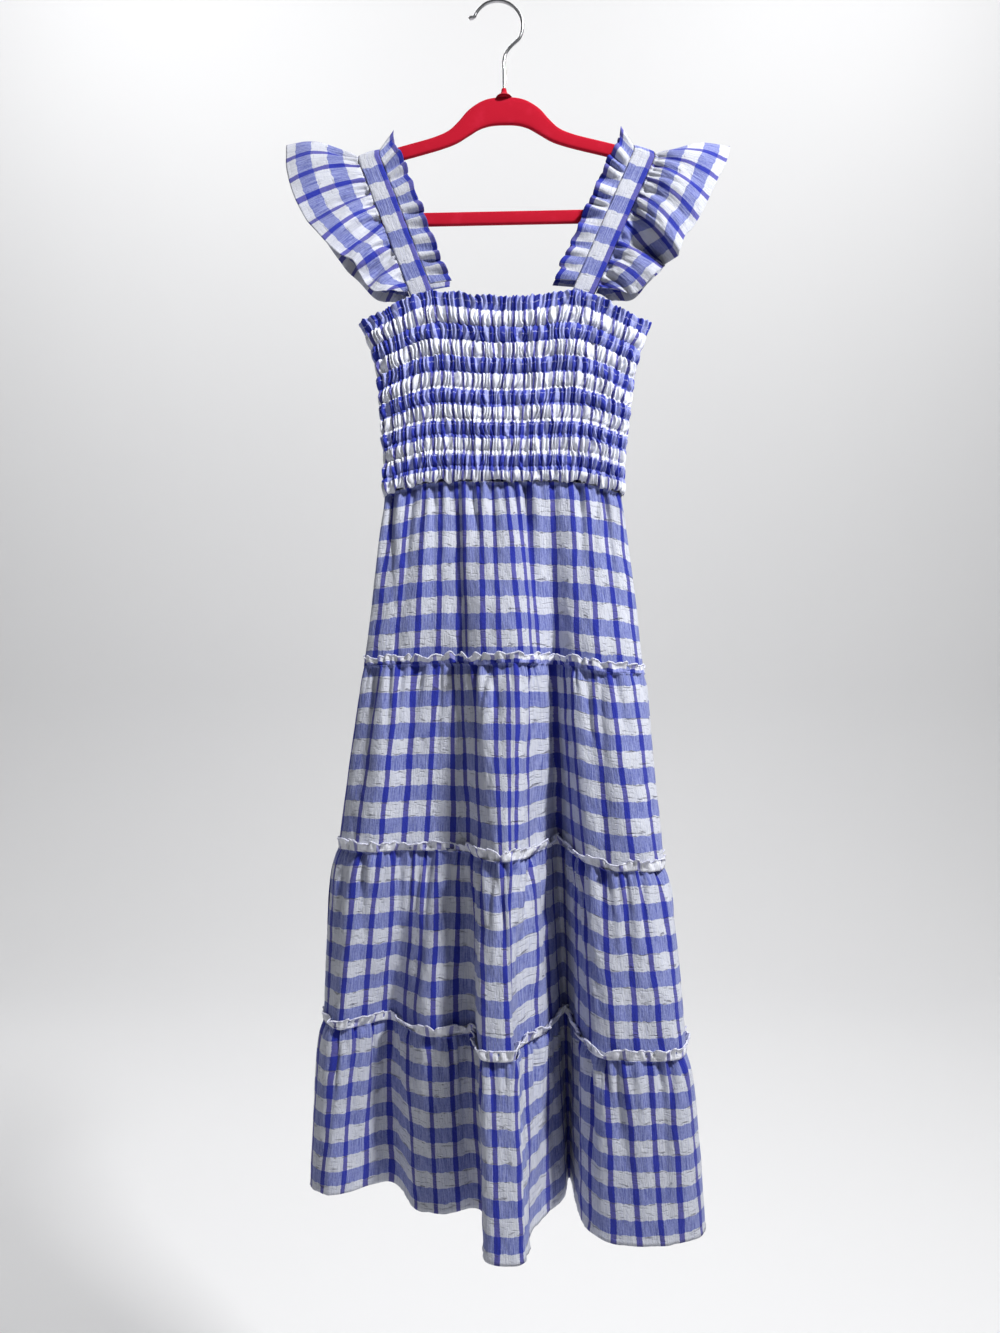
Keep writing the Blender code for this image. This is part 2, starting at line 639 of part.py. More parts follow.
def build_hanger_frame(finish):
    """The flat moulded loop: a rounded section carried round the closed line."""
    loop = hanger_loop()
    line = loop[:, :2]
    along = np.roll(line, -1, axis=0) - np.roll(line, 1, axis=0)
    along /= np.linalg.norm(along, axis=1, keepdims=True)
    side = np.stack([-along[:, 1], along[:, 0]], axis=1)
    half_thick = HANGER_THICK / 2
    corner = 1.3
    rows = []
    for across, depth in (
        (1.0, half_thick - corner),
        (1.0, corner - half_thick),
        (-1.0, corner - half_thick),
        (-1.0, half_thick - corner),
    ):
        rows.append((across, 0.0, depth))
        rows.append((across, corner, math.copysign(half_thick, depth)))
    order = [0, 2, 3, 5, 4, 6, 7, 1]
    section = [rows[number] for number in order]
    points = []
    for across, inset, depth in section:
        offset = across * (loop[:, 2] / 2 - inset)
        place = line + side * offset[:, None]
        height = place[:, 1] + HANGER_TILT * place[:, 0]
        points.append(np.stack([place[:, 0], np.full(len(line), depth), height], axis=1))
    index = np.arange(len(section) * len(line)).reshape(len(section), len(line))
    index = np.concatenate([index, index[:1]])
    index = np.concatenate([index, index[:, :1]], axis=1)
    return make_object("hanger_frame", np.concatenate(points), grid_faces(index), finish)


def swept_tube(line, radii, sides):
    """Points and faces of a closed tube along a line in the XZ plane, its ends capped."""
    along = np.gradient(line, axis=0)
    along /= np.linalg.norm(along, axis=1, keepdims=True)
    across = np.stack([-along[:, 2], 0 * along[:, 0], along[:, 0]], axis=1)
    angle = 2 * math.pi * np.arange(sides) / sides
    ring = (
        np.cos(angle)[None, :, None] * across[:, None]
        + np.sin(angle)[None, :, None] * np.array([0.0, 1.0, 0.0])
    )
    points = (line[:, None] + ring * np.asarray(radii)[:, None, None]).reshape(-1, 3)
    index = np.arange(len(points)).reshape(len(line), sides)
    wrapped = np.concatenate([index, index[:, :1]], axis=1)
    faces = grid_faces(wrapped) + [index[0].tolist(), index[-1].tolist()]
    return points, faces


def hook_line():
    """The wire's middle line: up the neck, out to the right, over the top to the tip."""
    centre = np.array(HOOK_CENTRE)
    turn = np.radians(np.linspace(-30.0, 150.0, 22))
    arc = centre + HOOK_RADIUS * np.stack([np.cos(turn), np.sin(turn)], axis=1)
    neck = np.array([[0.0, -79.6], [0.0, -66.0], [0.2, -52.0], [1.6, -46.5], [5.6, -41.0]])
    shoulder = np.array([[10.8, -36.0]])
    tip = np.array([[-28.0, -13.0], [-31.0, -13.8], [-33.0, -13.9]])
    flat = np.concatenate([neck, shoulder, arc, tip])
    return np.stack([flat[:, 0], 0 * flat[:, 0], flat[:, 1]], axis=1)


def build_hook(finish):
    """The wire hook with its small rounded tip."""
    line = hook_line()
    radii = np.full(len(line), HOOK_WIRE)
    radii[-3:] = (1.75, 1.8, 1.1)
    points, faces = swept_tube(line, radii, 8)
    return make_object("hanger_hook", points, faces, finish)


def build_collar(finish):
    """The moulded collar that grips the wire on top of the hanger's frame."""
    height = np.array([-87.4, -85.4, -82.0, -79.9])
    line = np.stack([0 * height, 0 * height, height], axis=1)
    points, faces = swept_tube(line, (6.8, 3.6, 2.2, 2.0), 12)
    return make_object("hanger_collar", points, faces, finish)


def main():
    for old in list(bpy.data.objects):
        bpy.data.objects.remove(old, do_unlink=True)
    finishes = {
        "front": material("checked_cloth_front", BLUE, 0.85),
        "back": material("checked_cloth_back", BLUE, 0.85),
        "bodice": material("smocked_cloth", BLUE, 0.85),
        "strap": material("strap_cloth", BLUE, 0.85),
        "frill": material("frill_cloth", PALE, 0.85),
        "ruffle": material("ruffle_cloth", PALE, 0.85),
    }
    build_bodice("bodice_front", -1.0, FRONT_RIBS, finishes["bodice"])
    build_bodice("bodice_back", 1.0, BACK_RIBS, finishes["bodice"])
    build_skirt(finishes)
    for strap in STRAPS:
        build_strap(strap, finishes["strap"])
        build_frill(strap, finishes["frill"])
        build_ruffle(strap, finishes["ruffle"])
    flock = material("red_flock", RED, 0.95)
    build_hanger_frame(flock)
    build_collar(flock)
    build_hook(material("hook_wire", STEEL, 0.25, 1.0))


main()
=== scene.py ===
"""Looks of a girl's checked maxi dress on its flocked hanger.

The dress hangs by the hanger's wire hook. Each piece of cloth is a thin shell on its solid's
form: the folds, gathers and smocking are worked out with numpy on fine grids, in millimetres,
and the cloth's own place on the bolt is kept in a UV map in metres, which the woven check
follows. X is to the viewer's right, Y away from the viewer and Z up, and the origin is the
inner top of the hook's wire.
"""

from __future__ import annotations

import logging
import math
from dataclasses import dataclass, field
from enum import Enum
from typing import NamedTuple

import bpy
import numpy as np
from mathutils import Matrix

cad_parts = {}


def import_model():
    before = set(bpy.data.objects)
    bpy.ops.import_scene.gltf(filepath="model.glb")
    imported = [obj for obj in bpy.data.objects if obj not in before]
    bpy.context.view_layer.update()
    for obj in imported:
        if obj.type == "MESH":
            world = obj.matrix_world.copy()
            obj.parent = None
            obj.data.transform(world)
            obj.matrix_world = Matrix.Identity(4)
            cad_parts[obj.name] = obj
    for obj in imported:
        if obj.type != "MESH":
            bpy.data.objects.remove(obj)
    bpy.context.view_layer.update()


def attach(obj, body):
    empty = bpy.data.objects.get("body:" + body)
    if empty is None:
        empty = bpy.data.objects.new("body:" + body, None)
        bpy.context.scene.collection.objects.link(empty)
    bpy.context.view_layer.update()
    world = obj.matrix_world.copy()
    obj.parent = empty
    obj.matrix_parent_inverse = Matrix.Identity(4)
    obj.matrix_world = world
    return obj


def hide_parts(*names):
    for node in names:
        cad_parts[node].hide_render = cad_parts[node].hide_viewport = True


log = logging.getLogger("maxi_dress")

Array = np.ndarray
Colour = tuple[float, float, float]
MM = 0.001
BODY = "root"

# The check: a pair of wide bands along the cloth, and one narrow stripe to each repeat across
BAND_REPEAT = 30.0
STRIPE_REPEAT = 23.3
STRIPE_WIDTH = 5.2

# The stripes' spacing on the unseen back
BACK_STRIPE_PITCH = 21.5

# Slope of the hanger, which hangs a little askew
HANGER_TILT = 0.0205

# Numbers of seeded values in the noises along a line and over a plane, before they repeat
LINE_VALUES = 997
PLANE_VALUES = 251


class Side(Enum):
    """The two faces that the dress was cut in."""

    FRONT = "front"
    BACK = "back"


class Level(NamedTuple):
    """A seam of the skirt: its height, its sag at the sides and on the right, and the swell of
    the tier below it."""

    name: str
    z: float
    side_sag: float
    right_drop: float
    side_puff: float


LEVELS = (
    Level("waist", -447.0, 11.0, 0.0, 0.5),
    Level("seam_1", -613.5, 2.0, 7.0, 1.5),
    Level("seam_2", -783.0, 0.0, 11.0, 6.5),
    Level("seam_3", -942.5, 0.0, 5.5, 5.5),
    Level("hem", -1098.0, 0.0, 5.0, 0.0),
)


class Girth(NamedTuple):
    """A level of the bodice: share of its height, half widths and droop of the sides."""

    share: float
    left: float
    right: float
    droop: float


BODICE_GIRTHS = (
    Girth(0.00, 111.5, 111.0, 11.0),
    Girth(0.25, 112.0, 112.5, 12.0),
    Girth(0.50, 115.0, 117.0, 14.0),
    Girth(0.75, 119.5, 122.5, 17.0),
    Girth(0.90, 127.0, 130.0, 19.0),
    Girth(1.00, 134.0, 136.0, 21.0),
)


class Fold(NamedTuple):
    """A lengthwise fold of the skirt, where it stands in plan at each seam, as (x, y)."""

    name: str
    seam_1: tuple[float, float]
    seam_2: tuple[float, float]
    seam_3: tuple[float, float]
    hem: tuple[float, float]


FRONT_FOLDS = (
    Fold("left_seam", (-130, -2), (-153, -4), (-167, -4), (-180, 0)),
    Fold("left_lobe", (-114, -14), (-134, -28), (-148, -32), (-163, -20)),
    Fold("left_lobe_inner", (-98, -20), (-113, -34), (-128, -20), (-140, -14)),
    Fold("recess", (-82, -18), (-93, -24), (-106, -4), (-105, 3)),
    Fold("mid_lobe_rise", (-70, -18), (-78, -22), (-88, -28), (-78, -43)),
    Fold("mid_lobe", (-58, -20), (-66, -23), (-70, -49), (-62, -54)),
    Fold("mid_lobe_inner", (-48, -22), (-49, -26), (-51, -51), (-44, -50)),
    Fold("pleat_root", (-40, -24), (-34, -30), (-30, -42), (-23, -46)),
    Fold("pleat_left_edge", (-31, -36), (-24, -58), (-18, -101), (-14, -124)),
    Fold("pleat_face", (-18, -44), (-10, -76), (-4, -106), (2, -130)),
    Fold("pleat_right_edge", (1, -48), (4, -78), (10, -104), (16, -127)),
    Fold("pleat_turn", (19, -44), (17, -60), (15, -70), (22, -104)),
    Fold("pleat_side", (29, -34), (28, -34), (32, -49), (27, -75)),
    Fold("pleat_back_edge", (38, -20), (41, -6), (47, -12), (54, -22)),
    Fold("valley", (46, -8), (51, 14), (58, 16), (62, 16)),
    Fold("right_lobe_edge", (54, -18), (63, -26), (67, -49), (66, -57)),
    Fold("right_lobe_rise", (63, -30), (71, -48), (77, -80), (81, -84)),
    Fold("right_lobe", (80, -38), (95, -64), (104, -92), (118, -93)),
    Fold("right_lobe_outer", (98, -38), (117, -66), (134, -92), (145, -90)),
    Fold("right_turn", (114, -32), (132, -60), (148, -88), (166, -80)),
    Fold("right_seam", (128, -16), (142, -44), (157, -70), (175, -62)),
)
BACK_FOLDS = (
    Fold("right_side", (130, -6), (144, -24), (158, -40), (172, -30)),
    Fold("right_ridge", (122, 8), (136, 6), (148, 4), (160, 12)),
    Fold("right_valley", (106, 8), (118, 2), (130, -2), (140, -4)),
    Fold("ridge_1", (88, 13), (98, 16), (108, 20), (118, 24)),
    Fold("valley_1", (70, 8), (78, 2), (86, -2), (92, -4)),
    Fold("ridge_2", (48, 14), (52, 25), (58, 28), (62, 30)),
    Fold("valley_2", (27, 9), (30, 4), (32, 0), (34, -2)),
    Fold("ridge_3", (7, 14), (8, 19), (10, 23), (12, 26)),
    Fold("valley_3", (-13, 9), (-14, 4), (-15, 0), (-16, -6)),
    Fold("ridge_4", (-34, 14), (-38, 19), (-41, 23), (-44, 26)),
    Fold("valley_4", (-54, 9), (-60, 4), (-66, 0), (-72, -4)),
    Fold("ridge_5", (-79, 14), (-88, 20), (-96, 24), (-100, 27)),
    Fold("left_valley", (-97, 9), (-108, 8), (-118, 6), (-126, 6)),
    Fold("left_ridge", (-114, 12), (-128, 18), (-140, 22), (-152, 24)),
    Fold("left_side", (-126, 7), (-147, 12), (-160, 14), (-172, 16)),
)


class TierCut(NamedTuple):
    """A tier's place on the check: where its bands start and end along the cloth, and where
    its stripes stand, as places along the row of front folds."""

    band_start: float
    band_end: float
    stripes: tuple[float, ...]


TIER_CUTS = (
    TierCut(0.0, 165.0, (0.65, 1.8, 3.15, 4.8, 6.95, 7.6, 9.0, 9.75, 10.75, 11.7, 12.6, 14.5,
                         16.25, 17.3, 18.45, 19.5)),
    TierCut(3.8, 181.5, (0.1, 1.0, 2.1, 3.1, 4.6, 6.15, 7.1, 8.1, 9.45, 10.12, 10.5, 11.5,
                         14.15, 14.9, 15.85, 16.85, 17.8, 19.15)),
    TierCut(0.0, 169.5, (0.3, 1.05, 2.0, 2.75, 3.8, 4.45, 5.4, 6.45, 7.4, 8.15, 9.5, 10.2,
                         11.9, 12.75, 13.4, 14.2, 14.9, 15.7, 16.6, 17.3, 18.0, 19.3)),
    TierCut(0.0, 174.0, (0.2, 0.8, 1.7, 2.35, 3.0, 4.0, 5.15, 6.2, 7.05, 7.4, 7.8, 8.55, 9.9,
                         11.45, 12.5, 13.25, 13.9, 14.5, 15.0, 15.5, 16.35, 16.9, 17.55, 18.25,
                         19.3)),
)


class StrapLine(NamedTuple):
    """A shoulder strap: its side, its foot on the bodice and its place on the hanger's arm."""

    name: str
    side: int
    foot_x: float
    foot_z: float
    arm_x: float


STRAPS = (
    StrapLine("left", -1, -77.2, -270.0, -124.6),
    StrapLine("right", 1, 74.9, -267.0, 129.3),
)


class Flute(NamedTuple):
    """A fold of a sleeve ruffle: its share along the strap, its hem and its bulge."""

    share: float
    x: float
    y: float
    z: float
    bulge_y: float
    bulge_z: float


RUFFLES = {
    "left": (
        Flute(0.00, -99, -17, -273, 0, 0),
        Flute(0.07, -119, -24, -275, -3, 2),
        Flute(0.12, -128, -14, -264, 3, 0),
        Flute(0.18, -136, -30, -251, -4, 2),
        Flute(0.25, -150, -24, -242, 2, 0),
        Flute(0.29, -160, -34, -235, -4, 2),
        Flute(0.35, -178, -24, -213, -2, 2),
        Flute(0.42, -193, -22, -184, -3, 3),
        Flute(0.47, -200, -13, -157, -4, 6),
        Flute(0.50, -202, 0, -132, 0, 8),
        Flute(0.53, -200, 13, -157, 4, 6),
        Flute(0.58, -189, 22, -184, 3, 3),
        Flute(0.65, -171, 18, -211, 0, 2),
        Flute(0.72, -152, 28, -236, 4, 2),
        Flute(0.80, -138, 17, -252, -1, 0),
        Flute(0.88, -122, 27, -266, 3, 2),
        Flute(0.94, -110, 19, -271, 0, 1),
        Flute(1.00, -99, 17, -271, 0, 0),
    ),
    "right": (
        Flute(0.00, 105, -17, -273, 0, 0),
        Flute(0.06, 119, -23, -278, -3, 2),
        Flute(0.12, 134, -27, -264, -3, 3),
        Flute(0.17, 146, -23, -253, 0, 2),
        Flute(0.22, 145, -8, -248, 4, 0),
        Flute(0.28, 155, -38, -249, -6, 1),
        Flute(0.33, 162, -33, -231, -5, 3),
        Flute(0.37, 171, -31, -220, -4, 4),
        Flute(0.42, 183, -27, -198, -4, 4),
        Flute(0.46, 194, -19, -174, -4, 5),
        Flute(0.48, 205, -11, -151, -3, 6),
        Flute(0.50, 210, 0, -133, 0, 8),
        Flute(0.53, 201, 13, -158, 4, 6),
        Flute(0.58, 186, 23, -185, 3, 3),
        Flute(0.66, 168, 17, -212, 0, 2),
        Flute(0.73, 152, 28, -236, 4, 2),
        Flute(0.81, 138, 17, -252, -1, 0),
        Flute(0.88, 124, 26, -266, 3, 2),
        Flute(0.94, 112, 19, -270, 0, 1),
        Flute(1.00, 101, 17, -270, 0, 0),
    ),
}


class Station(NamedTuple):
    """A place along the hanger's right half: the middle of its moulding and its height."""

    x: float
    z: float
    height: float


HANGER_ARM = (
    Station(0.0, -100.6, 25.1),
    Station(14.0, -101.8, 24.4),
    Station(26.0, -107.0, 21.0),
    Station(36.5, -115.4, 16.4),
    Station(47.0, -123.2, 13.6),
    Station(60.0, -128.6, 12.2),
    Station(94.0, -137.8, 11.9),
    Station(130.0, -147.3, 11.8),
    Station(156.0, -154.4, 11.6),
)


class CreaseKind(NamedTuple):
    """A size of crease below a seam: mean spacing, and least and greatest depth, half width
    and reach, in mm."""

    spacing: float
    depth: tuple[float, float]
    width: tuple[float, float]
    reach: tuple[float, float]


# A fine and a broad kind each; the tiers' fine ones have widths in shares of a column's
FIRST_TIER_CREASES = (
    CreaseKind(8.0, (2.8, 7.5), (1.05, 2.0), (12.0, 85.0)),
    CreaseKind(23.0, (4.5, 8.5), (2.8, 4.8), (60.0, 170.0)),
)
TIER_CREASES = (
    CreaseKind(8.0, (2.4, 6.4), (1.05, 2.0), (12.0, 85.0)),
    CreaseKind(23.0, (3.0, 6.2), (2.8, 4.8), (60.0, 170.0)),
)
RUFFLE_CREASES = (
    CreaseKind(6.4, (2.2, 5.4), (1.2, 2.1), (9.0, 42.0)),
    CreaseKind(17.0, (3.2, 6.4), (2.0, 3.4), (30.0, 90.0)),
)


class Lamp(NamedTuple):
    """A soft square light: where it stands and what it faces, in metres, its side and watts."""

    name: str
    place: tuple[float, float, float]
    aim: tuple[float, float, float]
    size: float
    power: float


LAMPS = (
    Lamp("key_light", (1.0, -1.0, 0.80), (0.0, 0.0, -0.35), 0.22, 54.0),
    Lamp("fill_light", (-1.6, -2.4, 0.3), (0.0, 0.0, -0.6), 1.6, 2.0),
    Lamp("rear_light", (-0.9, 1.7, 0.5), (0.0, 0.0, -0.6), 1.0, 9.0),
    Lamp("wall_light_left", (-1.7, 1.3, 2.9), (-1.19, 3.4, -0.7), 1.8, 62.0),
    Lamp("wall_light_right", (1.7, 1.3, 2.9), (1.19, 3.4, -0.7), 1.8, 62.0),
)


def smooth_rows(values: Array, at: Array, knots: Array | None = None) -> Array:
    """Rows of numbers read between them on a smooth line: cubic Hermite through the rows, with
    each slope taken from the neighbours.

    Args:
        values: rows of numbers.
        at: places to read at, in the knots' units.
        knots: the rows' places, or None for 0, 1, 2 and on.

    Returns:
        The values at each place.
    """
    values = np.asarray(values, float)
    knots = np.arange(len(values), dtype=float) if knots is None else np.asarray(knots, float)
    at = np.clip(np.asarray(at, float), knots[0], knots[-1])
    slopes = np.gradient(values, knots, axis=0)
    low = np.clip(np.searchsorted(knots, at, side="right") - 1, 0, len(knots) - 2)
    span = knots[low + 1] - knots[low]
    share = (at - knots[low]) / span
    wide = (...,) + (None,) * (values.ndim - 1)
    share, span = share[wide], span[wide]
    square, cube = share**2, share**3
    return (
        (2 * cube - 3 * square + 1) * values[low]
        + (cube - 2 * square + share) * span * slopes[low]
        + (3 * square - 2 * cube) * values[low + 1]
        + (cube - square) * span * slopes[low + 1]
    )


def ring_path(points: Array, segment: Array, share: Array) -> tuple[Array, Array]:
    """Closed smooth lines through each row of points: cubic pieces whose knots are spaced by
    the root of the chord, so that sharp folds don't overshoot.

    Args:
        points: (row, point, xy).
        segment: the piece of the ring that each wanted place lies on.
        share: how far along its piece it lies.

    Returns:
        The places and the unit directions along the lines, each (row, place, xy).
    """
    count = points.shape[1]
    before, start, end, after = (points[:, (segment + k) % count] for k in (-1, 0, 1, 2))
    first = np.sqrt(np.linalg.norm(start - before, axis=-1, keepdims=True))
    middle = np.sqrt(np.linalg.norm(end - start, axis=-1, keepdims=True))
    last = np.sqrt(np.linalg.norm(after - end, axis=-1, keepdims=True))
    leave = middle * (
        (start - before) / first - (end - before) / (first + middle) + (end - start) / middle
    )
    arrive = middle * (
        (end - start) / middle - (after - start) / (middle + last) + (after - end) / last
    )
    f = share[None, :, None]
    place = (
        (2 * f**3 - 3 * f**2 + 1) * start
        + (f**3 - 2 * f**2 + f) * leave
        + (3 * f**2 - 2 * f**3) * end
        + (f**3 - f**2) * arrive
    )
    along = (
        (6 * f**2 - 6 * f) * start
        + (3 * f**2 - 4 * f + 1) * leave
        + (6 * f - 6 * f**2) * end
        + (3 * f**2 - 2 * f) * arrive
    )
    return place, along / np.linalg.norm(along, axis=-1, keepdims=True)


def unit(vectors: Array) -> Array:
    """The vectors at length one."""
    return vectors / np.maximum(np.linalg.norm(vectors, axis=-1, keepdims=True), 1e-9)


def grid_normals(grid: Array) -> Array:
    """Unit normals of a grid of points: its second direction crossed with its first."""
    return unit(np.cross(np.gradient(grid, axis=1), np.gradient(grid, axis=0)))


def run_length(points: Array) -> Array:
    """Length along a line of points up to each of them."""
    steps = np.linalg.norm(np.diff(points, axis=0), axis=-1)
    return np.concatenate([[0.0], np.cumsum(steps)])


def run_length_rows(grid: Array) -> Array:
    """Length along the second direction of a grid up to each point."""
    steps = np.linalg.norm(np.diff(grid, axis=1), axis=-1)
    return np.concatenate([np.zeros((grid.shape[0], 1)), np.cumsum(steps, axis=1)], axis=1)


def wander(at: Array, seed: int) -> Array:
    """Smooth noise from -1 to 1 along one number: seeded values at whole numbers, eased
    between them."""
    values = np.random.RandomState(seed).uniform(-1.0, 1.0, LINE_VALUES)
    low = np.floor(at).astype(int)
    ease = (at - low) ** 2 * (3 - 2 * (at - low))
    return values[low % LINE_VALUES] * (1 - ease) + values[(low + 1) % LINE_VALUES] * ease


def ripple(across: Array, down: Array, seed: int) -> Array:
    """Smooth noise from -1 to 1 over two numbers: seeded values at whole places, eased both
    ways between them."""
    values = np.random.RandomState(seed).uniform(-1.0, 1.0, (PLANE_VALUES, PLANE_VALUES))
    i, j = np.floor(across).astype(int), np.floor(down).astype(int)
    s = (across - i) ** 2 * (3 - 2 * (across - i))
    t = (down - j) ** 2 * (3 - 2 * (down - j))
    i, i_next, j, j_next = (k % PLANE_VALUES for k in (i, i + 1, j, j + 1))
    near = values[i, j] * (1 - s) + values[i_next, j] * s
    far = values[i, j_next] * (1 - s) + values[i_next, j_next] * s
    return near * (1 - t) + far * t


def creases(across: Array, down: Array, kind: CreaseKind, seed: int, widen: float = 1.0) -> Array:
    """Depth of the creases that gathers leave below a seam: for each crease, its depth times e
    to minus the 1.5th power of the distance from its middle over its half width, times an
    exponential fade down its reach. A crease leans, and widens on the way down.

    Args:
        across: places across the cloth, in mm.
        down: distances below the seam, in mm.
        kind: the creases' spacing, depths, half widths and reaches.
        seed: of the random choice.
        widen: scale of the half widths.

    Returns:
        The depth at each (across, down), as a grid.
    """
    chance = np.random.RandomState(seed)
    count = max(2, int((across.max() - across.min()) / kind.spacing))
    places = np.linspace(across.min(), across.max(), count)
    places = places + chance.uniform(-0.42, 0.42, count) * kind.spacing
    depths = chance.uniform(*kind.depth, count)
    widths = chance.uniform(kind.width[0] * widen, kind.width[1] * widen, count)
    reaches = kind.reach[0] + (kind.reach[1] - kind.reach[0]) * chance.uniform(0, 1, count) ** 2
    leans = chance.normal(0.0, 0.10, count)
    fall = down[None, :, None]
    offset = across[:, None, None] - (places + leans * fall)
    bell = np.exp(-(np.abs(offset / (widths * (1 + fall / 70.0))) ** 1.5))
    return (depths * bell * np.exp(-fall / reaches)).sum(axis=-1)


def rim_faces(first: Array, second: Array) -> Array:
    """Triangles between two lines of point numbers whose counts may differ: the line that is
    less far along steps on, until both are at their ends."""
    step_first = np.arange(1, len(first)) / (len(first) - 1)
    step_second = np.arange(1, len(second)) / (len(second) - 1)
    order = np.argsort(np.concatenate([step_first, step_second]), kind="stable")
    moves_first = order < len(step_first)
    i = np.cumsum(moves_first) - moves_first
    j = np.cumsum(~moves_first) - ~moves_first
    third = np.where(moves_first, first[np.minimum(i + 1, len(first) - 1)],
                     second[np.minimum(j + 1, len(second) - 1)])
    return np.stack([first[i], third, second[j]], axis=1)


def quad_faces(index: Array) -> Array:
    """Two triangles for each cell of a grid of point numbers."""
    a, b, c, d = index[:-1, :-1], index[:-1, 1:], index[1:, 1:], index[1:, :-1]
    return np.concatenate([np.stack([a, b, c], -1).reshape(-1, 3),
                           np.stack([a, c, d], -1).reshape(-1, 3)])


def make_piece(name: str, points: Array, faces: Array, bolt: Array | None,
               finish: bpy.types.Material) -> bpy.types.Object:
    """One object from points in mm and triangles, turned outwards by its signed volume.

    Args:
        name: of the object.
        points: (point, xyz) in mm.
        faces: (triangle, 3) point numbers.
        bolt: (point, uv) places on the cloth in mm, or None.
        finish: its material.

    Returns:
        The object, linked to the scene and smooth shaded.
    """
    corners = points[faces]
    volume = np.einsum("ij,ij->i", corners[:, 0], np.cross(corners[:, 1], corners[:, 2])).sum()
    if volume < 0:
        faces = faces[:, ::-1]
    mesh = bpy.data.meshes.new(name)
    mesh.vertices.add(len(points))
    mesh.vertices.foreach_set("co", (points * MM).astype(np.float32).ravel())
    mesh.loops.add(faces.size)
    mesh.loops.foreach_set("vertex_index", np.ascontiguousarray(faces).astype(np.int32).ravel())
    mesh.polygons.add(len(faces))
    mesh.polygons.foreach_set("loop_start", np.arange(0, faces.size, 3, dtype=np.int32))
    mesh.update(calc_edges=True)
    if bolt is not None:
        layer = mesh.uv_layers.new(name="bolt")
        layer.data.foreach_set("uv", (bolt[faces.ravel()] * MM).astype(np.float32).ravel())
    mesh.shade_smooth()
    mesh.materials.append(finish)
    made = bpy.data.objects.new(name, mesh)
    bpy.context.collection.objects.link(made)
    return made


def make_shell(name: str, outer: Array, bolt: Array, thickness: float, outward: Array,
               finish: bpy.types.Material, thin: int = 2) -> bpy.types.Object:
    """A thin closed shell of cloth: the outer grid, an inner one of fewer points that lies the
    cloth's thickness behind it, and rims between them.

    Args:
        name: of the object.
        outer: (across, down, xyz) in mm.
        bolt: (across, down, uv) in mm.
        thickness: of the cloth.
        outward: (across, down, xyz) directions that the cloth faces.
        finish: its material.
        thin: the inner grid keeps one point in this many each way.

    Returns:
        The object.
    """
    def kept(count: int) -> Array:
        """Every thin-th number below a count, and the last one."""
        return np.unique(np.concatenate([np.arange(0, count, thin), [count - 1]]))

    rows, columns = kept(outer.shape[0]), kept(outer.shape[1])
    inner = (outer - unit(outward) * thickness)[rows][:, columns]
    near = np.arange(outer.shape[0] * outer.shape[1]).reshape(outer.shape[:2])
    far = near.size + np.arange(inner.shape[0] * inner.shape[1]).reshape(inner.shape[:2])
    faces = [quad_faces(near), quad_faces(far)[:, ::-1]]
    for edge, turned in ((np.s_[0, :], False), (np.s_[-1, :], True),
                         (np.s_[:, 0], True), (np.s_[:, -1], False)):
        rim = rim_faces(near[edge], far[edge])
        faces.append(rim if turned else rim[:, ::-1])
    points = np.concatenate([outer.reshape(-1, 3), inner.reshape(-1, 3)])
    places = np.concatenate([bolt.reshape(-1, 2), bolt[rows][:, columns].reshape(-1, 2)])
    return make_piece(name, points, np.concatenate(faces), places, finish)


def make_cord(name: str, path: Array, radius: Array, up: Array, sides: int,
              finish: bpy.types.Material) -> bpy.types.Object:
    """A round tube along a path: at each point a ring across the path, and a fan at each end.

    Args:
        name: of the object.
        path: (point, xyz) in mm.
        radius: at each point.
        up: a direction that isn't along the path, one for all or one at each point.
        sides: of the ring.
        finish: its material.

    Returns:
        The object.
    """
    along = unit(np.gradient(path, axis=0))
    side = unit(np.cross(along, up))
    rise = np.cross(side, along)
    angle = 2 * math.pi * np.arange(sides) / sides
    ring = (np.cos(angle)[None, :, None] * side[:, None]
            + np.sin(angle)[None, :, None] * rise[:, None])
    points = (path[:, None] + ring * radius[:, None, None]).reshape(-1, 3)
    index = np.arange(len(points)).reshape(len(path), sides)
    index = np.pad(index, ((0, 0), (0, 1)), mode="wrap")
    points = np.concatenate([points, path[:1], path[-1:]])
    ends = [np.stack([index[0, 1:], index[0, :-1], np.full(sides, len(points) - 2)], 1),
            np.stack([index[-1, :-1], index[-1, 1:], np.full(sides, len(points) - 1)], 1)]
    return make_piece(name, points, np.concatenate([quad_faces(index)] + ends), None, finish)


def stripe_places(arc: Array, stripes: Array) -> Array:
    """Places across the bolt, in mm, of points whose arc along the panel is known: each stripe
    keeps its own width, and the cloth between two stripes is spread evenly."""
    half = STRIPE_WIDTH / 2
    margin = 60.0
    number = np.arange(len(stripes), dtype=float) * STRIPE_REPEAT
    knots = np.stack([stripes - half, stripes + half], axis=1).ravel()
    values = np.stack([number - half, number + half], axis=1).ravel()
    knots = np.concatenate([knots[:1] - margin, knots, knots[-1:] + margin])
    values = np.concatenate([values[:1] - margin, values, values[-1:] + margin])
    return np.interp(arc, knots, values)


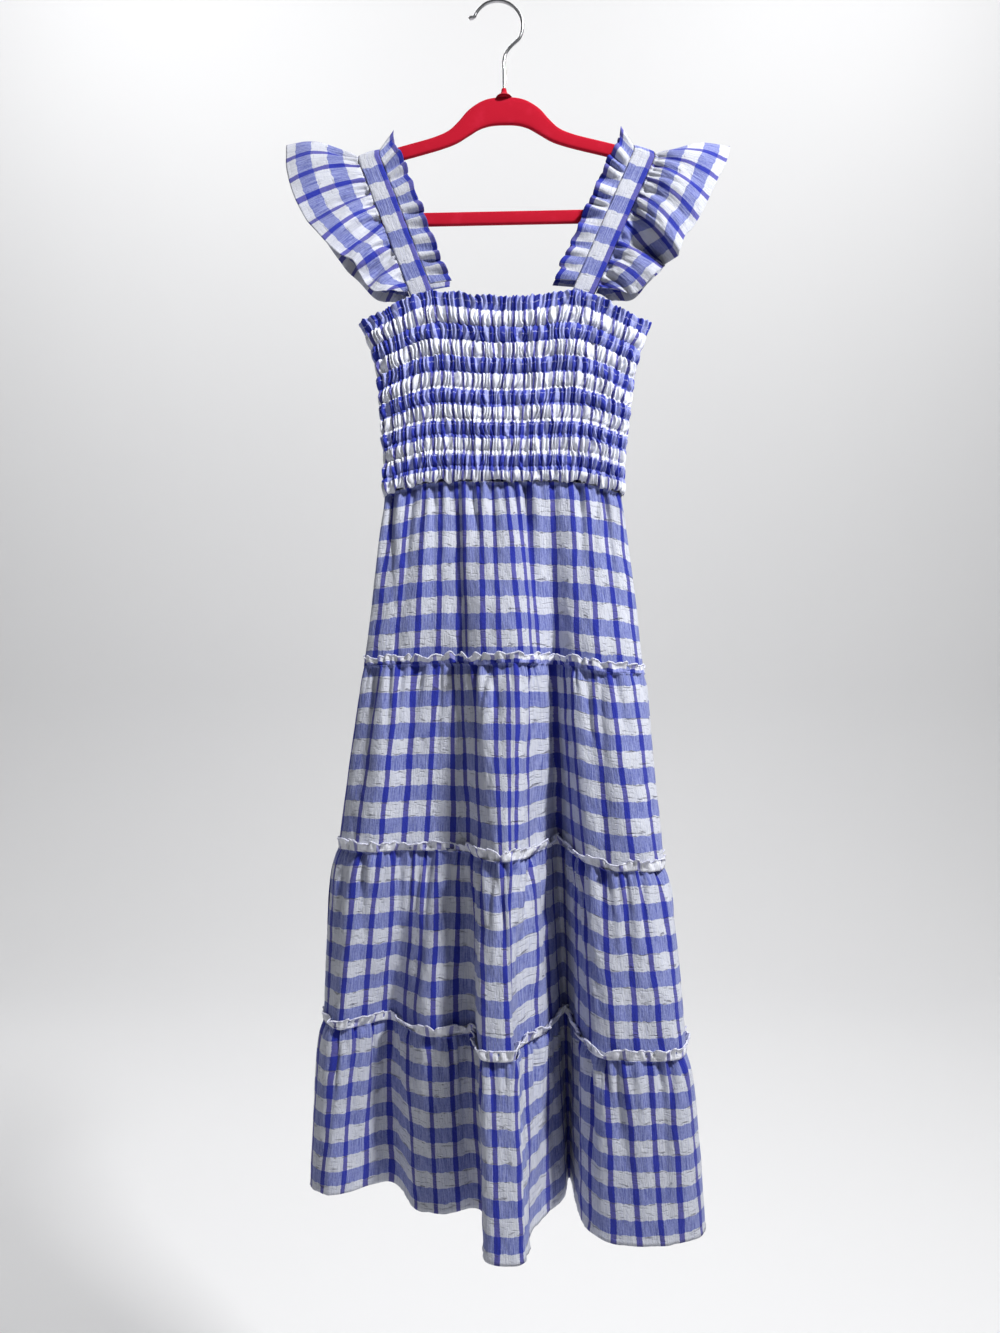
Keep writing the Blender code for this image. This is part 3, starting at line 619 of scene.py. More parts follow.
class Nodes:
    """A small hand for building node trees: adds nodes and joins sockets by name."""

    def __init__(self, tree: bpy.types.NodeTree) -> None:
        """Keeps the tree that nodes are added to."""
        self.tree = tree

    def put(self, socket: bpy.types.NodeSocket, value: object) -> None:
        """Links a socket to another one, or gives it a value; a bare colour gets its alpha."""
        if isinstance(value, bpy.types.NodeSocket):
            self.tree.links.new(value, socket)
        elif socket.type == "RGBA":
            socket.default_value = (*value, 1.0)
        else:
            socket.default_value = value

    def fill(self, node: bpy.types.Node, inputs: dict[str, object]) -> None:
        """Sets or links a node's inputs by their labels."""
        for label, value in inputs.items():
            self.put(node.inputs[label], value)

    def add(self, kind: str, *inputs: object, **settings: object) -> bpy.types.Node:
        """Adds a node, gives it its settings, and sets or links its first inputs.

        Args:
            kind: Blender's node type.
            *inputs: values or sockets, in the order of the node's inputs.
            **settings: the node's own properties.

        Returns:
            The node.
        """
        node = self.tree.nodes.new(kind)
        for key, value in settings.items():
            setattr(node, key, value)
        for socket, value in zip(node.inputs, inputs):
            self.put(socket, value)
        return node

    def math(self, operation: str, *values: object) -> bpy.types.NodeSocket:
        """The result of one arithmetic step on sockets or numbers."""
        return self.add("ShaderNodeMath", *values, operation=operation).outputs[0]

    def plus(self, first: object, second: object) -> bpy.types.NodeSocket:
        """The sum of two sockets or numbers."""
        return self.math("ADD", first, second)

    def less(self, first: object, second: object) -> bpy.types.NodeSocket:
        """The first socket or number less the second."""
        return self.math("SUBTRACT", first, second)

    def times(self, first: object, second: object) -> bpy.types.NodeSocket:
        """The product of two sockets or numbers."""
        return self.math("MULTIPLY", first, second)

    def mix(self, share: object, first: object, second: object) -> bpy.types.NodeSocket:
        """A colour between two others."""
        node = self.add("ShaderNodeMix", share, data_type="RGBA")
        self.put(node.inputs[6], first)
        self.put(node.inputs[7], second)
        return node.outputs[2]

    def noise(self, vector: object, scale: tuple[float, float, float], detail: float = 2.0,
              rough: float = 0.55) -> bpy.types.NodeSocket:
        """Noise of 0 to 1 on a vector stretched by a scale."""
        stretched = self.add("ShaderNodeVectorMath", vector, scale, operation="MULTIPLY")
        made = self.add("ShaderNodeTexNoise", noise_dimensions="3D")
        self.fill(made, {"Vector": stretched.outputs[0], "Scale": 1.0, "Detail": detail,
                         "Roughness": rough})
        return made.outputs["Fac"]

    def swing(self, vector: object, scale: tuple[float, float, float],
              reach: float) -> bpy.types.NodeSocket:
        """Coarse noise about 0, from minus half a reach to plus half."""
        return self.times(self.less(self.noise(vector, scale, 1.0), 0.5), reach)

    def step(self, value: object, low: float, high: float) -> bpy.types.NodeSocket:
        """A smooth step from 0 at low to 1 at high."""
        made = self.add("ShaderNodeMapRange", value, low, high, 0.0, 1.0,
                        interpolation_type="SMOOTHSTEP")
        return made.outputs[0]

    def bump(self, height: object, strength: float, distance: float) -> bpy.types.NodeSocket:
        """Normals that follow a height, where a height of 1 is a distance in metres."""
        made = self.add("ShaderNodeBump")
        self.fill(made, {"Strength": strength, "Distance": distance, "Height": height})
        return made.outputs[0]


def new_group(name: str, inputs: tuple[tuple[str, str, object], ...],
              outputs: tuple[tuple[str, str], ...]) -> tuple[bpy.types.NodeTree, Nodes,
                                                            bpy.types.Node, bpy.types.Node]:
    """An empty shader group with named sockets.

    Args:
        name: of the group.
        inputs: (name, socket type, value at first).
        outputs: (name, socket type).

    Returns:
        The group, a hand for its nodes, its input node and its output node.
    """
    tree = bpy.data.node_groups.new(name, "ShaderNodeTree")
    for label, kind, value in inputs:
        made = tree.interface.new_socket(label, in_out="INPUT", socket_type=kind)
        if value is not None:
            made.default_value = value
    for label, kind in outputs:
        tree.interface.new_socket(label, in_out="OUTPUT", socket_type=kind)
    hand = Nodes(tree)
    return tree, hand, hand.add("NodeGroupInput"), hand.add("NodeGroupOutput")


def woven_check_group() -> bpy.types.NodeTree:
    """The woven check: bands from the wave of V, stripes from the wave of U, heathered by streaks along
    the threads, and creased where the white bands pucker, with painted shade along each pucker.

    Returns:
        A group with the cloth's place in metres, its five colours, its stripes' shares of their repeat
        and the strength of its puckers' painted shade and bump as inputs, and a colour, a height and a
        roughness as outputs.
    """
    colour, number, vector = "NodeSocketColor", "NodeSocketFloat", "NodeSocketVector"
    tree, hand, given, made = new_group(
        "woven_check",
        (
            ("Bolt", vector, None),
            ("White", colour, None),
            ("Blue", colour, None),
            ("Blue Streak", colour, None),
            ("Stripe On Blue", colour, None),
            ("Stripe On White", colour, None),
            ("Stripe Share On Blue", number, 0.22),
            ("Stripe Share On White", number, 0.22),
            ("Pucker Shade And Relief", number, 1.0),
        ),
        (("Color", colour), ("Height", number), ("Roughness", number)),
    )
    bolt, yarn = given.outputs["Bolt"], given.outputs["Blue"]
    parts = hand.add("ShaderNodeSeparateXYZ", bolt)

    # Blue bands over the first half of each repeat of V, with a ragged, drifting edge
    edge = hand.swing(bolt, (900.0, 160.0, 1.0), 0.00075)
    drift = hand.swing(bolt, (150.0, 60.0, 1.0), 0.0034)
    place = hand.plus(parts.outputs[1], hand.plus(edge, drift))
    band = hand.math("FRACT", hand.math("DIVIDE", place, BAND_REPEAT * MM))
    rise = hand.step(band, 0.0, 0.022)
    blue = hand.times(rise, hand.less(1.0, hand.step(band, 0.489, 0.511)))
    white = hand.less(1.0, blue)

    # A stripe about each whole repeat of U, wider or narrower by the band that it crosses
    shift = hand.swing(bolt, (120.0, 700.0, 1.0), 0.0009)
    turn = hand.math("DIVIDE", hand.plus(parts.outputs[0], shift), STRIPE_REPEAT * MM)
    off = hand.math("ABSOLUTE", hand.less(hand.math("FRACT", hand.plus(turn, 0.5)), 0.5))
    width = hand.plus(hand.times(given.outputs["Stripe Share On Blue"], blue),
                      hand.times(given.outputs["Stripe Share On White"], white))
    stripe = hand.step(hand.less(hand.times(width, 0.5), off), -0.012, 0.012)

    # Streaks along the threads and a finer mottle part the yarns of bands and stripes
    streak = hand.noise(bolt, (1500.0, 45.0, 1.0), 3.0, 0.62)
    mottle = hand.noise(bolt, (420.0, 420.0, 1.0), 4.0, 0.7)
    heather = hand.step(hand.plus(hand.times(streak, 0.72), hand.times(mottle, 0.28)), 0.40, 0.62)
    periwinkle = hand.mix(heather, given.outputs["Blue Streak"], yarn)
    whites = hand.mix(hand.times(hand.step(streak, 0.40, 0.72), 0.30), given.outputs["White"], yarn)
    ground = hand.mix(blue, whites, periwinkle)
    royal = hand.mix(blue, given.outputs["Stripe On White"], given.outputs["Stripe On Blue"])
    fleck = hand.times(hand.step(mottle, 0.55, 0.78), 0.12)
    checked = hand.mix(stripe, ground, hand.mix(fleck, royal, yarn))

    # Short puckers across the white bands, nearly four times as strong near their edges: painted shade
    # darkens the cloth along each one, and the same mask sinks the bump's height
    lines = hand.noise(bolt, (105.0, 430.0, 1.0), 2.0, 0.5)
    inset = hand.step(hand.math("ABSOLUTE", hand.less(band, 0.75)), 0.13, 0.21)
    pucker = hand.times(hand.step(lines, 0.54, 0.68), white)
    pucker = hand.times(hand.times(pucker, hand.plus(0.35, inset)), given.outputs["Pucker Shade And Relief"])
    shaded = hand.mix(hand.times(pucker, 0.36), checked, (0.16, 0.16, 0.27))

    # Height from crinkles along the cloth, the yarn's grain and mottle, less the puckers
    crinkle = hand.noise(bolt, (520.0, 130.0, 1.0), 2.0, 0.6)
    grain = hand.noise(bolt, (2600.0, 2600.0, 1.0), 1.0)
    height = hand.plus(hand.times(crinkle, 0.75), hand.times(grain, 0.10))
    height = hand.plus(height, hand.times(mottle, 0.35))
    height = hand.less(height, hand.times(pucker, 0.9))
    rough = hand.plus(0.80, hand.times(mottle, 0.15))
    hand.fill(made, {"Color": shaded, "Height": height, "Roughness": rough})
    return tree


def elastic_group() -> bpy.types.NodeTree:
    """Rows of elastic thread: a thin wavy line at each repeat of V, broken into stitches.

    Returns:
        A group with the cloth's place and the rows' pitch as inputs, and a mask of the thread
        as output.
    """
    number = "NodeSocketFloat"
    tree, hand, given, made = new_group(
        "elastic_rows",
        (("Bolt", "NodeSocketVector", None), ("Row Pitch", number, 0.0142)),
        (("Mask", number),),
    )
    bolt, pitch = given.outputs["Bolt"], given.outputs["Row Pitch"]
    parts = hand.add("ShaderNodeSeparateXYZ", bolt)
    place = hand.plus(parts.outputs[1], hand.swing(bolt, (260.0, 3.0, 1.0), 0.0016))
    turn = hand.math("FRACT", hand.plus(hand.math("DIVIDE", place, pitch), 0.5))
    off = hand.times(hand.math("ABSOLUTE", hand.less(turn, 0.5)), pitch)
    line = hand.less(1.0, hand.step(off, 0.00030, 0.00062))
    gaps = hand.step(hand.noise(bolt, (420.0, 3.0, 1.0), 1.0), 0.40, 0.50)
    hand.fill(made, {"Mask": hand.times(line, gaps)})
    return tree


def flock_group() -> bpy.types.NodeTree:
    """Short flocked pile: a fine even grain with a few rubbed and tufted patches.

    Returns:
        A group with an object place and two colours as inputs, and a colour and height out.
    """
    colour = "NodeSocketColor"
    tree, hand, given, made = new_group(
        "flocked_pile",
        (("Place", "NodeSocketVector", None), ("Pile", colour, None), ("Rubbed", colour, None)),
        (("Color", colour), ("Height", "NodeSocketFloat")),
    )
    place = given.outputs["Place"]
    grain = hand.noise(place, (2400.0, 2400.0, 2400.0), 2.0, 0.7)
    patch = hand.noise(place, (60.0, 60.0, 60.0), 3.0, 0.55)
    worn = hand.times(hand.step(patch, 0.50, 0.75), 0.55)
    tone = hand.mix(hand.plus(worn, hand.times(grain, 0.25)),
                    given.outputs["Pile"], given.outputs["Rubbed"])
    hand.fill(made, {"Color": tone, "Height": hand.plus(grain, hand.times(patch, 0.6))})
    return tree


def new_material(name: str) -> tuple[bpy.types.Material, Nodes, bpy.types.Node]:
    """An empty material with one Principled shader.

    Args:
        name: of the material.

    Returns:
        The material, a hand for its nodes and its shader.
    """
    made = bpy.data.materials.new(name)
    made.use_nodes = True
    return made, Nodes(made.node_tree), made.node_tree.nodes["Principled BSDF"]


@dataclass(frozen=True)
class CheckedCloth:
    name: str
    check: bpy.types.NodeTree
    white: Colour
    elastic: bpy.types.NodeTree | None = None
    blue: Colour = (0.128, 0.152, 0.500)
    blue_streak: Colour = (0.360, 0.395, 0.730)
    stripe_on_blue: Colour = (0.013, 0.024, 0.320)
    stripe_on_white: Colour = (0.090, 0.088, 0.350)
    thread: Colour = (0.62, 0.64, 0.86)
    share_on_blue: float = STRIPE_WIDTH / STRIPE_REPEAT
    share_on_white: float = STRIPE_WIDTH / STRIPE_REPEAT
    # strength of the painted shade along the white bands' puckers and of their bump
    pucker: float = 1.0
    bump: float = 0.85
    depth: float = 0.0011
    row_pitch: float = 0.01425

    def build(self) -> bpy.types.Material:
        """The material: the check's colour and roughness, elastic thread at half strength over
        it where the cloth is smocked, and a bump of the check's height."""
        made, hand, shader = new_material(self.name)
        bolt = hand.add("ShaderNodeUVMap", uv_map="bolt").outputs[0]
        check = hand.add("ShaderNodeGroup", node_tree=self.check)
        hand.fill(check, {
            "Bolt": bolt,
            "White": self.white,
            "Blue": self.blue,
            "Blue Streak": self.blue_streak,
            "Stripe On Blue": self.stripe_on_blue,
            "Stripe On White": self.stripe_on_white,
            "Stripe Share On Blue": self.share_on_blue,
            "Stripe Share On White": self.share_on_white,
            "Pucker Shade And Relief": self.pucker,
        })
        colour = check.outputs["Color"]
        if self.elastic is not None:
            rows = hand.add("ShaderNodeGroup", node_tree=self.elastic)
            hand.fill(rows, {"Bolt": bolt, "Row Pitch": self.row_pitch})
            colour = hand.mix(hand.times(rows.outputs["Mask"], 0.50), colour, self.thread)
        hand.fill(shader, {
            "Base Color": colour,
            "Roughness": check.outputs["Roughness"],
            "Normal": hand.bump(check.outputs["Height"], self.bump, self.depth),
            "Sheen Weight": 0.12,
            "Sheen Roughness": 0.6,
            "Specular IOR Level": 0.25,
        })
        return made


@dataclass(frozen=True)
class OverlockThread:
    """White overlock thread along a raw edge, ridged by its loops."""

    name: str = "overlock_thread"
    light: Colour = (0.86, 0.87, 0.92)
    dark: Colour = (0.52, 0.53, 0.70)

    def build(self) -> bpy.types.Material:
        """The material: noise between two whites, with a fine bump."""
        made, hand, shader = new_material(self.name)
        place = hand.add("ShaderNodeTexCoord").outputs["Object"]
        loops = hand.noise(place, (900.0, 900.0, 900.0), 2.0, 0.6)
        hand.fill(shader, {
            "Base Color": hand.mix(hand.step(loops, 0.38, 0.66), self.dark, self.light),
            "Normal": hand.bump(loops, 0.7, 0.0006),
            "Roughness": 0.75,
        })
        return made


@dataclass(frozen=True)
class Flock:
    """Red flocked pile over a moulded hanger."""

    pile: bpy.types.NodeTree
    name: str = "red_flock"
    deep: Colour = (0.44, 0.002, 0.018)
    rubbed: Colour = (0.52, 0.010, 0.036)
    sheen: Colour = (1.0, 0.30, 0.38)

    def build(self) -> bpy.types.Material:
        """The material: the pile's colour, its bump and a velvet sheen."""
        made, hand, shader = new_material(self.name)
        place = hand.add("ShaderNodeTexCoord").outputs["Object"]
        pile = hand.add("ShaderNodeGroup", node_tree=self.pile)
        hand.fill(pile, {"Place": place, "Pile": self.deep, "Rubbed": self.rubbed})
        hand.fill(shader, {
            "Base Color": pile.outputs["Color"],
            "Normal": hand.bump(pile.outputs["Height"], 0.5, 0.0005),
            "Roughness": 0.9,
            "Sheen Weight": 0.22,
            "Sheen Tint": self.sheen,
            "Sheen Roughness": 0.35,
            "Specular IOR Level": 0.2,
        })
        return made


@dataclass(frozen=True)
class PlatedWire:
    """Bright plated wire with fine drawing marks."""

    name: str = "hook_wire"
    tone: Colour = (0.52, 0.52, 0.54)

    def build(self) -> bpy.types.Material:
        """The material: metal whose roughness and bump follow fine marks."""
        made, hand, shader = new_material(self.name)
        place = hand.add("ShaderNodeTexCoord").outputs["Object"]
        marks = hand.noise(place, (700.0, 700.0, 160.0), 3.0, 0.6)
        hand.fill(shader, {
            "Base Color": self.tone,
            "Roughness": hand.plus(0.12, hand.times(marks, 0.22)),
            "Normal": hand.bump(marks, 0.15, 0.0002),
            "Metallic": 1.0,
        })
        return made


@dataclass
class Finishes:
    """Every material of the object, built once."""

    skirt: bpy.types.Material = field(init=False)
    bodice: bpy.types.Material = field(init=False)
    trim: bpy.types.Material = field(init=False)
    frill: bpy.types.Material = field(init=False)
    thread: bpy.types.Material = field(init=False)
    flock: bpy.types.Material = field(init=False)
    wire: bpy.types.Material = field(init=False)

    def __post_init__(self) -> None:
        """Builds the node groups, then the materials."""
        check = woven_check_group()
        # One checked cotton in four copies whose whites and blues differ as painted light: the bodice's
        # lighter to offset the shade between its deep ribs, the headings' lighter, the skirt's and the
        # trim's darker
        self.skirt = CheckedCloth(
            "checked_cloth",
            check,
            white=(0.625, 0.645, 0.715),
            blue=(0.090, 0.116, 0.380),
            blue_streak=(0.265, 0.300, 0.580),
            share_on_white=0.19,
            depth=0.0016,
        ).build()
        self.bodice = CheckedCloth(
            "smocked_cloth",
            check,
            white=(0.83, 0.845, 0.90),
            elastic=elastic_group(),
            blue=(0.175, 0.205, 0.570),
            blue_streak=(0.430, 0.465, 0.780),
            stripe_on_blue=(0.020, 0.034, 0.360),
            share_on_blue=0.50,
            share_on_white=0.24,
            pucker=0.0,
            bump=0.5,
        ).build()
        self.trim = CheckedCloth(
            "trim_cloth",
            check,
            white=(0.58, 0.595, 0.650),
            blue=(0.088, 0.108, 0.350),
            blue_streak=(0.250, 0.280, 0.530),
            pucker=0.35,
        ).build()
        self.frill = CheckedCloth(
            "heading_cloth",
            check,
            white=(0.80, 0.81, 0.85),
            stripe_on_white=(0.26, 0.26, 0.55),
            share_on_white=0.13,
            pucker=0.4,
        ).build()
        self.thread = OverlockThread().build()
        self.flock = Flock(flock_group()).build()
        self.wire = PlatedWire().build()


def dress(piece: bpy.types.Object, slot: str, *nodes: str) -> bpy.types.Object:
    """Rides a piece on the part's one body and hides the solids it stands for.

    Args:
        piece: the finished piece.
        slot: not used.
        *nodes: the solids that it replaces.

    Returns:
        The same piece.
    """
    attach(piece, BODY)
    if nodes:
        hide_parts(*nodes)
    log.info("%s: %d triangles", piece.name, len(piece.data.polygons))
    return piece


@dataclass
class Bodice:
    """The smocked tube: gathered cloth on rows of elastic thread, with a frilled top edge."""

    finishes: Finishes
    depth: float = 12.0
    power: float = 2.6
    top: float = -278.0
    top_lift: float = 8.0
    bottom_lift: float = 2.0
    lift_x: float = 68.0
    lift_spread: float = 32.0
    rows: int = 12
    heading: float = 0.075
    puff: float = 1.5
    rib: float = 3.5
    rib_width: float = 4.45
    groove: float = 0.9
    loose_edge: float = 2.4
    cloth: float = 0.9
    run: float = 252.0
    rise: float = 172.0
    band_drop: float = 16.7
    stripe_start: float = 7.0
    stripe_pitch: float = 9.75
    columns: int = 430
    steps: int = 170

    def girth(self, column: str, share: Array) -> Array:
        """A column of the table of girths, read smoothly at shares of the height."""
        values = [getattr(row, column) for row in BODICE_GIRTHS]
        return smooth_rows(values, share, [row.share for row in BODICE_GIRTHS])

    def oval(self, share: Array, left: float, right: float, depth: float) -> Array:
        """Half an oval in plan, read at shares of its length: a power curve of exponent power.

        Args:
            share: shares of the length from left to right.
            left: half width to the left.
            right: half width to the right.
            depth: how far it bulges along Y.

        Returns:
            (share, xy).
        """
        angle = np.linspace(math.pi, 0.0, 721)
        cosine, sine = np.cos(angle), np.sin(angle)
        wide = np.sign(cosine) * np.abs(cosine) ** (2 / self.power)
        x = (right - left) / 2 + (right + left) / 2 * wide
        y = depth * np.abs(sine) ** (2 / self.power)
        length = np.concatenate([[0.0], np.cumsum(np.hypot(np.diff(x), np.diff(y)))])
        at = np.asarray(share) * length[-1]
        return np.stack([np.interp(at, length, x), np.interp(at, length, y)], axis=-1)

    def height(self, x: Array, share: Array) -> Array:
        """Z on the bodice: the rows rise in two bells under the straps and droop with the cube
        of the distance from the middle."""
        lift = self.bottom_lift + (self.top_lift - self.bottom_lift) * share
        bumps = sum(np.exp(-(((x - side * self.lift_x) / self.lift_spread) ** 2)) for side in (-1, 1))
        middle = LEVELS[0].z + (self.top - LEVELS[0].z) * share
        sides = np.abs(x / self.girth("left", share)) ** 3
        return middle + lift * bumps - self.girth("droop", share) * sides

    def relief(self, across: Array, up: Array, seed: int) -> Array:
        """How far the cloth stands off the plain tube: puffs between the rows of elastic, each
        a half wave to a power, carved into uneven upright ribs, a groove at each row, and loose
        ripples below the lowest row.

        Args:
            across: places across the half, in mm.
            up: shares of the height.
            seed: of the ribs' wander.

        Returns:
            (across, up) in mm.
        """
        last = self.rows - 1
        turn = up / (1.0 - self.heading) * last
        between = np.abs(np.sin(math.pi * np.minimum(turn, last)))
        free = np.clip((turn - last) * (1.0 - self.heading) / self.heading / last, 0, 1)
        swell = np.where(turn > last, free, between ** 0.62)
        a, t = across[:, None], turn[None, :]
        row = np.minimum(np.floor(turn), last)[None, :]
        phase = a / self.rib_width + 1.05 * ripple(a / 7.5, t + 0.5, seed)
        phase = phase + 0.16 * wander(row * 3.7 + 0 * a, seed + 1)
        rib = 0.5 + 0.5 * np.cos(2 * math.pi * phase)
        fine = 0.5 + 0.5 * np.cos(2 * math.pi * (2.17 * phase + ripple(a / 6.0, t, seed + 2)))
        size = 1.0 + 0.35 * ripple(a / 14.0, t * 1.3, seed + 3)
        ribs = self.rib * size * (rib ** 0.8 + 0.22 * fine)
        off_row = np.minimum(np.abs(turn - np.round(turn)), 1.0) * 14.0 / 1.1
        groove = self.groove * np.exp(-(off_row ** 2))
        calm = np.clip(np.minimum(a - a.min(), a.max() - a) / 5.0, 0.15, 1.0)
        stand = self.puff * swell[None, :] * size + ribs * (0.60 + 0.40 * swell[None, :])
        loose = np.clip(1.0 - turn / 0.8, 0.0, 1.0)[None, :]
        stand = stand + self.loose_edge * loose * ripple(a / 4.4, t * 1.4, seed + 12)
        return (stand - groove[None, :]) * calm

    def half(self, side: Side) -> bpy.types.Object:
        """One half of the bodice as a shell, its stripes drawn in to the gathered pitch.

        Args:
            side: front or back.

        Returns:
            The piece.
        """
        sign, seed = (-1.0, 11) if side is Side.FRONT else (1.0, 47)
        across = np.linspace(0.0, 1.0, self.columns)
        up = np.linspace(0.0, 1.0, self.steps)
        ends = zip(self.girth("left", up), self.girth("right", up))
        plan = np.stack([self.oval(across, *pair, sign * self.depth) for pair in ends], axis=1)
        height = self.height(plan[..., 0], up[None, :] + 0 * across[:, None])
        along = np.gradient(plan, axis=0)
        out = np.stack([sign * -along[..., 1], sign * along[..., 0], 0 * along[..., 0]], axis=-1)
        out = unit(out)
        at = across * self.run
        grid = np.concatenate([plan, height[..., None]], axis=-1)
        grid = grid + out * self.relief(at, up, seed)[..., None]

        # The free top edge waves, the edge at the waist is scalloped, and the rows waver
        top = np.clip((up - (1.0 - self.heading)) / self.heading, 0, 1)
        wave = 0.9 * wander(at / 3.1, seed + 5) + 1.1 * wander(at / 9.0, seed + 6)
        grid[..., 2] += top * wave[:, None]
        scallop = 1.5 * wander(at / 2.6, seed + 10) + 1.6 * wander(at / 7.0, seed + 11)
        grid[..., 2] += np.clip(1 - up / 0.035, 0, 1) * scallop[:, None]
        grid[..., 2] += 0.30 * ripple(at[:, None] / 7.0, up[None, :] * 40.0, seed + 7)

        sway = 1.5 * ripple(at[:, None] / 16.0, up[None, :] * 12.0, seed + 8)
        u = (at[:, None] + sway) / self.stripe_pitch * STRIPE_REPEAT + self.stripe_start
        waver = 0.9 * ripple(at[:, None] / 5.0, up[None, :] * 24.0, seed + 9)
        v = (up * self.rise)[None, :] - self.band_drop + BAND_REPEAT / 4 + waver
        piece = make_shell(f"bodice_{side.value}_cloth", grid, np.stack([u, v], axis=-1),
                           self.cloth, out, self.finishes.bodice)
        dress(piece, "checked_cloth", f"bodice_{side.value}")
        return piece

    def build(self) -> None:
        """Both halves."""
        for side in Side:
            self.half(side)


@dataclass
class Skirt:
    """Four gathered tiers and the raw heading that stands over each seam between them."""

    finishes: Finishes
    bodice: Bodice
    cloth: float = 0.8
    puff: float = 1.6
    gather_depth: float = 0.9
    gathers_front: int = 10
    gathers_back: int = 8
    valley_calm: float = 0.07
    column: float = 1.4
    back_column: float = 1.65
    step: float = 2.6
    seam: float = 8.0
    back_start: float = 4.0
    heading: float = 8.4
    heading_cut: float = 0.0105
    heading_step: float = 1.15
    heading_cloth: float = 0.55
    heading_gather: float = 1.18
    thread_radius: float = 0.72
    thread_loop: float = 1.7

    def ring(self) -> Array:
        """The folds' places at the five levels, all round from the left seam, as (level, fold,
        xy): at the waist they are spread on the bodice's oval by their spacing at the first seam."""
        tables = [np.array([fold[1:] for fold in folds], float) for folds in (FRONT_FOLDS, BACK_FOLDS)]
        ring = np.concatenate(tables).transpose(1, 0, 2)
        count = len(FRONT_FOLDS)
        base = BODICE_GIRTHS[0]
        front_run = run_length(ring[0, :count])
        front = self.bodice.oval(front_run / front_run[-1], base.left, base.right, -self.bodice.depth)
        back_run = run_length(np.concatenate([ring[0, count - 1:], ring[0, :1]]))
        back_share = 1.0 - (back_run / back_run[-1])[1:-1]
        back = self.bodice.oval(back_share, base.left, base.right, self.bodice.depth)
        return np.concatenate([np.concatenate([front, back])[None], ring])

    def length(self, tier: int) -> float:
        """Height of a tier between the middles of its two seams."""
        return LEVELS[tier].z - LEVELS[tier + 1].z

    def columns(self, ring: Array, tier: int, side: Side, spacing: float) -> Array:
        """Places along the row of folds, spaced evenly by the cloth's run at the tier's middle.

        Args:
            ring: the folds' places.
            tier: from 0.
            side: front or back.
            spacing: in mm.

        Returns:
            Places, whole numbers being folds.
        """
        count, front = ring.shape[1], len(FRONT_FOLDS)
        first, last = (0, front - 1) if side is Side.FRONT else (front - 1, count)
        fine = np.linspace(first, last, (last - first) * 40 + 1)
        segment = np.minimum(fine.astype(int), last - 1)
        middle = smooth_rows(ring, np.array([tier + 0.6]))
        run = run_length(ring_path(middle, segment, fine - segment)[0][0])
        even = np.linspace(0.0, run[-1], int(run[-1] / spacing) + 1)
        return np.interp(even, run, fine)

    def level_height(self, x: Array, number: int) -> Array:
        """Z of a seam at the places x: it sags with the square of x and drops on the right."""
        if number == 0:
            return self.bodice.height(x, np.zeros_like(x))
        level = LEVELS[number]
        turn = np.clip((x - 45.0) / 50.0, 0.0, 1.0)
        drop = level.right_drop * turn * turn * (3 - 2 * turn)
        return level.z - level.side_sag * (x / BODICE_GIRTHS[0].left) ** 2 - drop

    def panel(self, ring: Array, tier: int, side: Side, places: Array,
              down: Array) -> tuple[Array, Array, Array]:
        """Points of one panel of a tier: the ring of folds between two seams, swelled below
        the upper seam, creased by its gathers and rippled as crinkled cloth is.

        Args:
            ring: the folds' places.
            tier: from 0.
            side: front or back.
            places: along the row of folds.
            down: shares of the tier's length.

        Returns:
            The points and outward directions, each (across, down, xyz), and the arc across the
            cloth of each column in mm.
        """
        count, front = ring.shape[1], side is Side.FRONT
        last = (len(FRONT_FOLDS) - 1 if front else count) - 1
        segment = np.minimum(places.astype(int), last)
        share = places - segment
        place, along = ring_path(smooth_rows(ring, tier + down), segment, share)
        out = np.stack([along[..., 1], -along[..., 0]], axis=-1)
        arc = run_length(ring_path(smooth_rows(ring, np.array([tier + 0.5])), segment, share)[0][0])
        cloth = arc / arc[-1]
        length = self.length(tier)
        drop = down * length
        seed = 100 * tier + (7 if front else 53)

        # Both side edges and the valley stay calm, so that panels meet and no folds cross
        calm = np.clip(np.minimum(cloth, 1 - cloth) / 0.04, 0, 1)
        if front:
            names = [fold.name for fold in FRONT_FOLDS]
            valley = np.interp(names.index("valley"), places, cloth)
            calm = calm * np.clip(np.abs(cloth - valley) / self.valley_calm, 0, 1)
        waves = self.gathers_front if front else self.gathers_back
        fade = (np.exp(-down / 0.3) * np.clip(down / 0.06, 0, 1))[:, None]
        swell = fade * calm * (self.puff + self.gather_depth * np.cos(2 * math.pi * waves * cloth))
        half = np.abs(place[..., 0]).max(axis=1, keepdims=True)
        rise = ((1 - np.exp(-down / 0.08)) * (1 - down) ** 0.8)[:, None]
        swell = swell + LEVELS[tier].side_puff * rise * (np.abs(place[..., 0]) / half) ** 4

        start = np.clip(drop / 1.6, 0, 1)[None, :]
        fine, broad = FIRST_TIER_CREASES if tier == 0 else TIER_CREASES
        relief = -creases(arc, drop, fine, seed, 1.25 * float(np.diff(arc).mean())) * start
        relief -= creases(arc, drop, broad, seed + 1) * start
        relief += 1.5 * ripple(arc[:, None] / 22.0, drop[None, :] / 46.0, seed + 2)
        relief += 0.55 * ripple(arc[:, None] / 7.0, drop[None, :] / 12.0, seed + 3)
        relief += 0.26 * ripple(arc[:, None] / 3.4, drop[None, :] / 6.5, seed + 4)
        relief = relief * (0.25 + 0.75 * calm[:, None])
        if tier == 3:
            above = (length - drop)[None, :]
            relief = relief + 0.55 * np.exp(-((above / 1.8) ** 2))
            relief = relief - 0.35 * np.exp(-(((above - 7.0) / 0.9) ** 2))
        place = place + out * (swell + relief.T)[..., None]

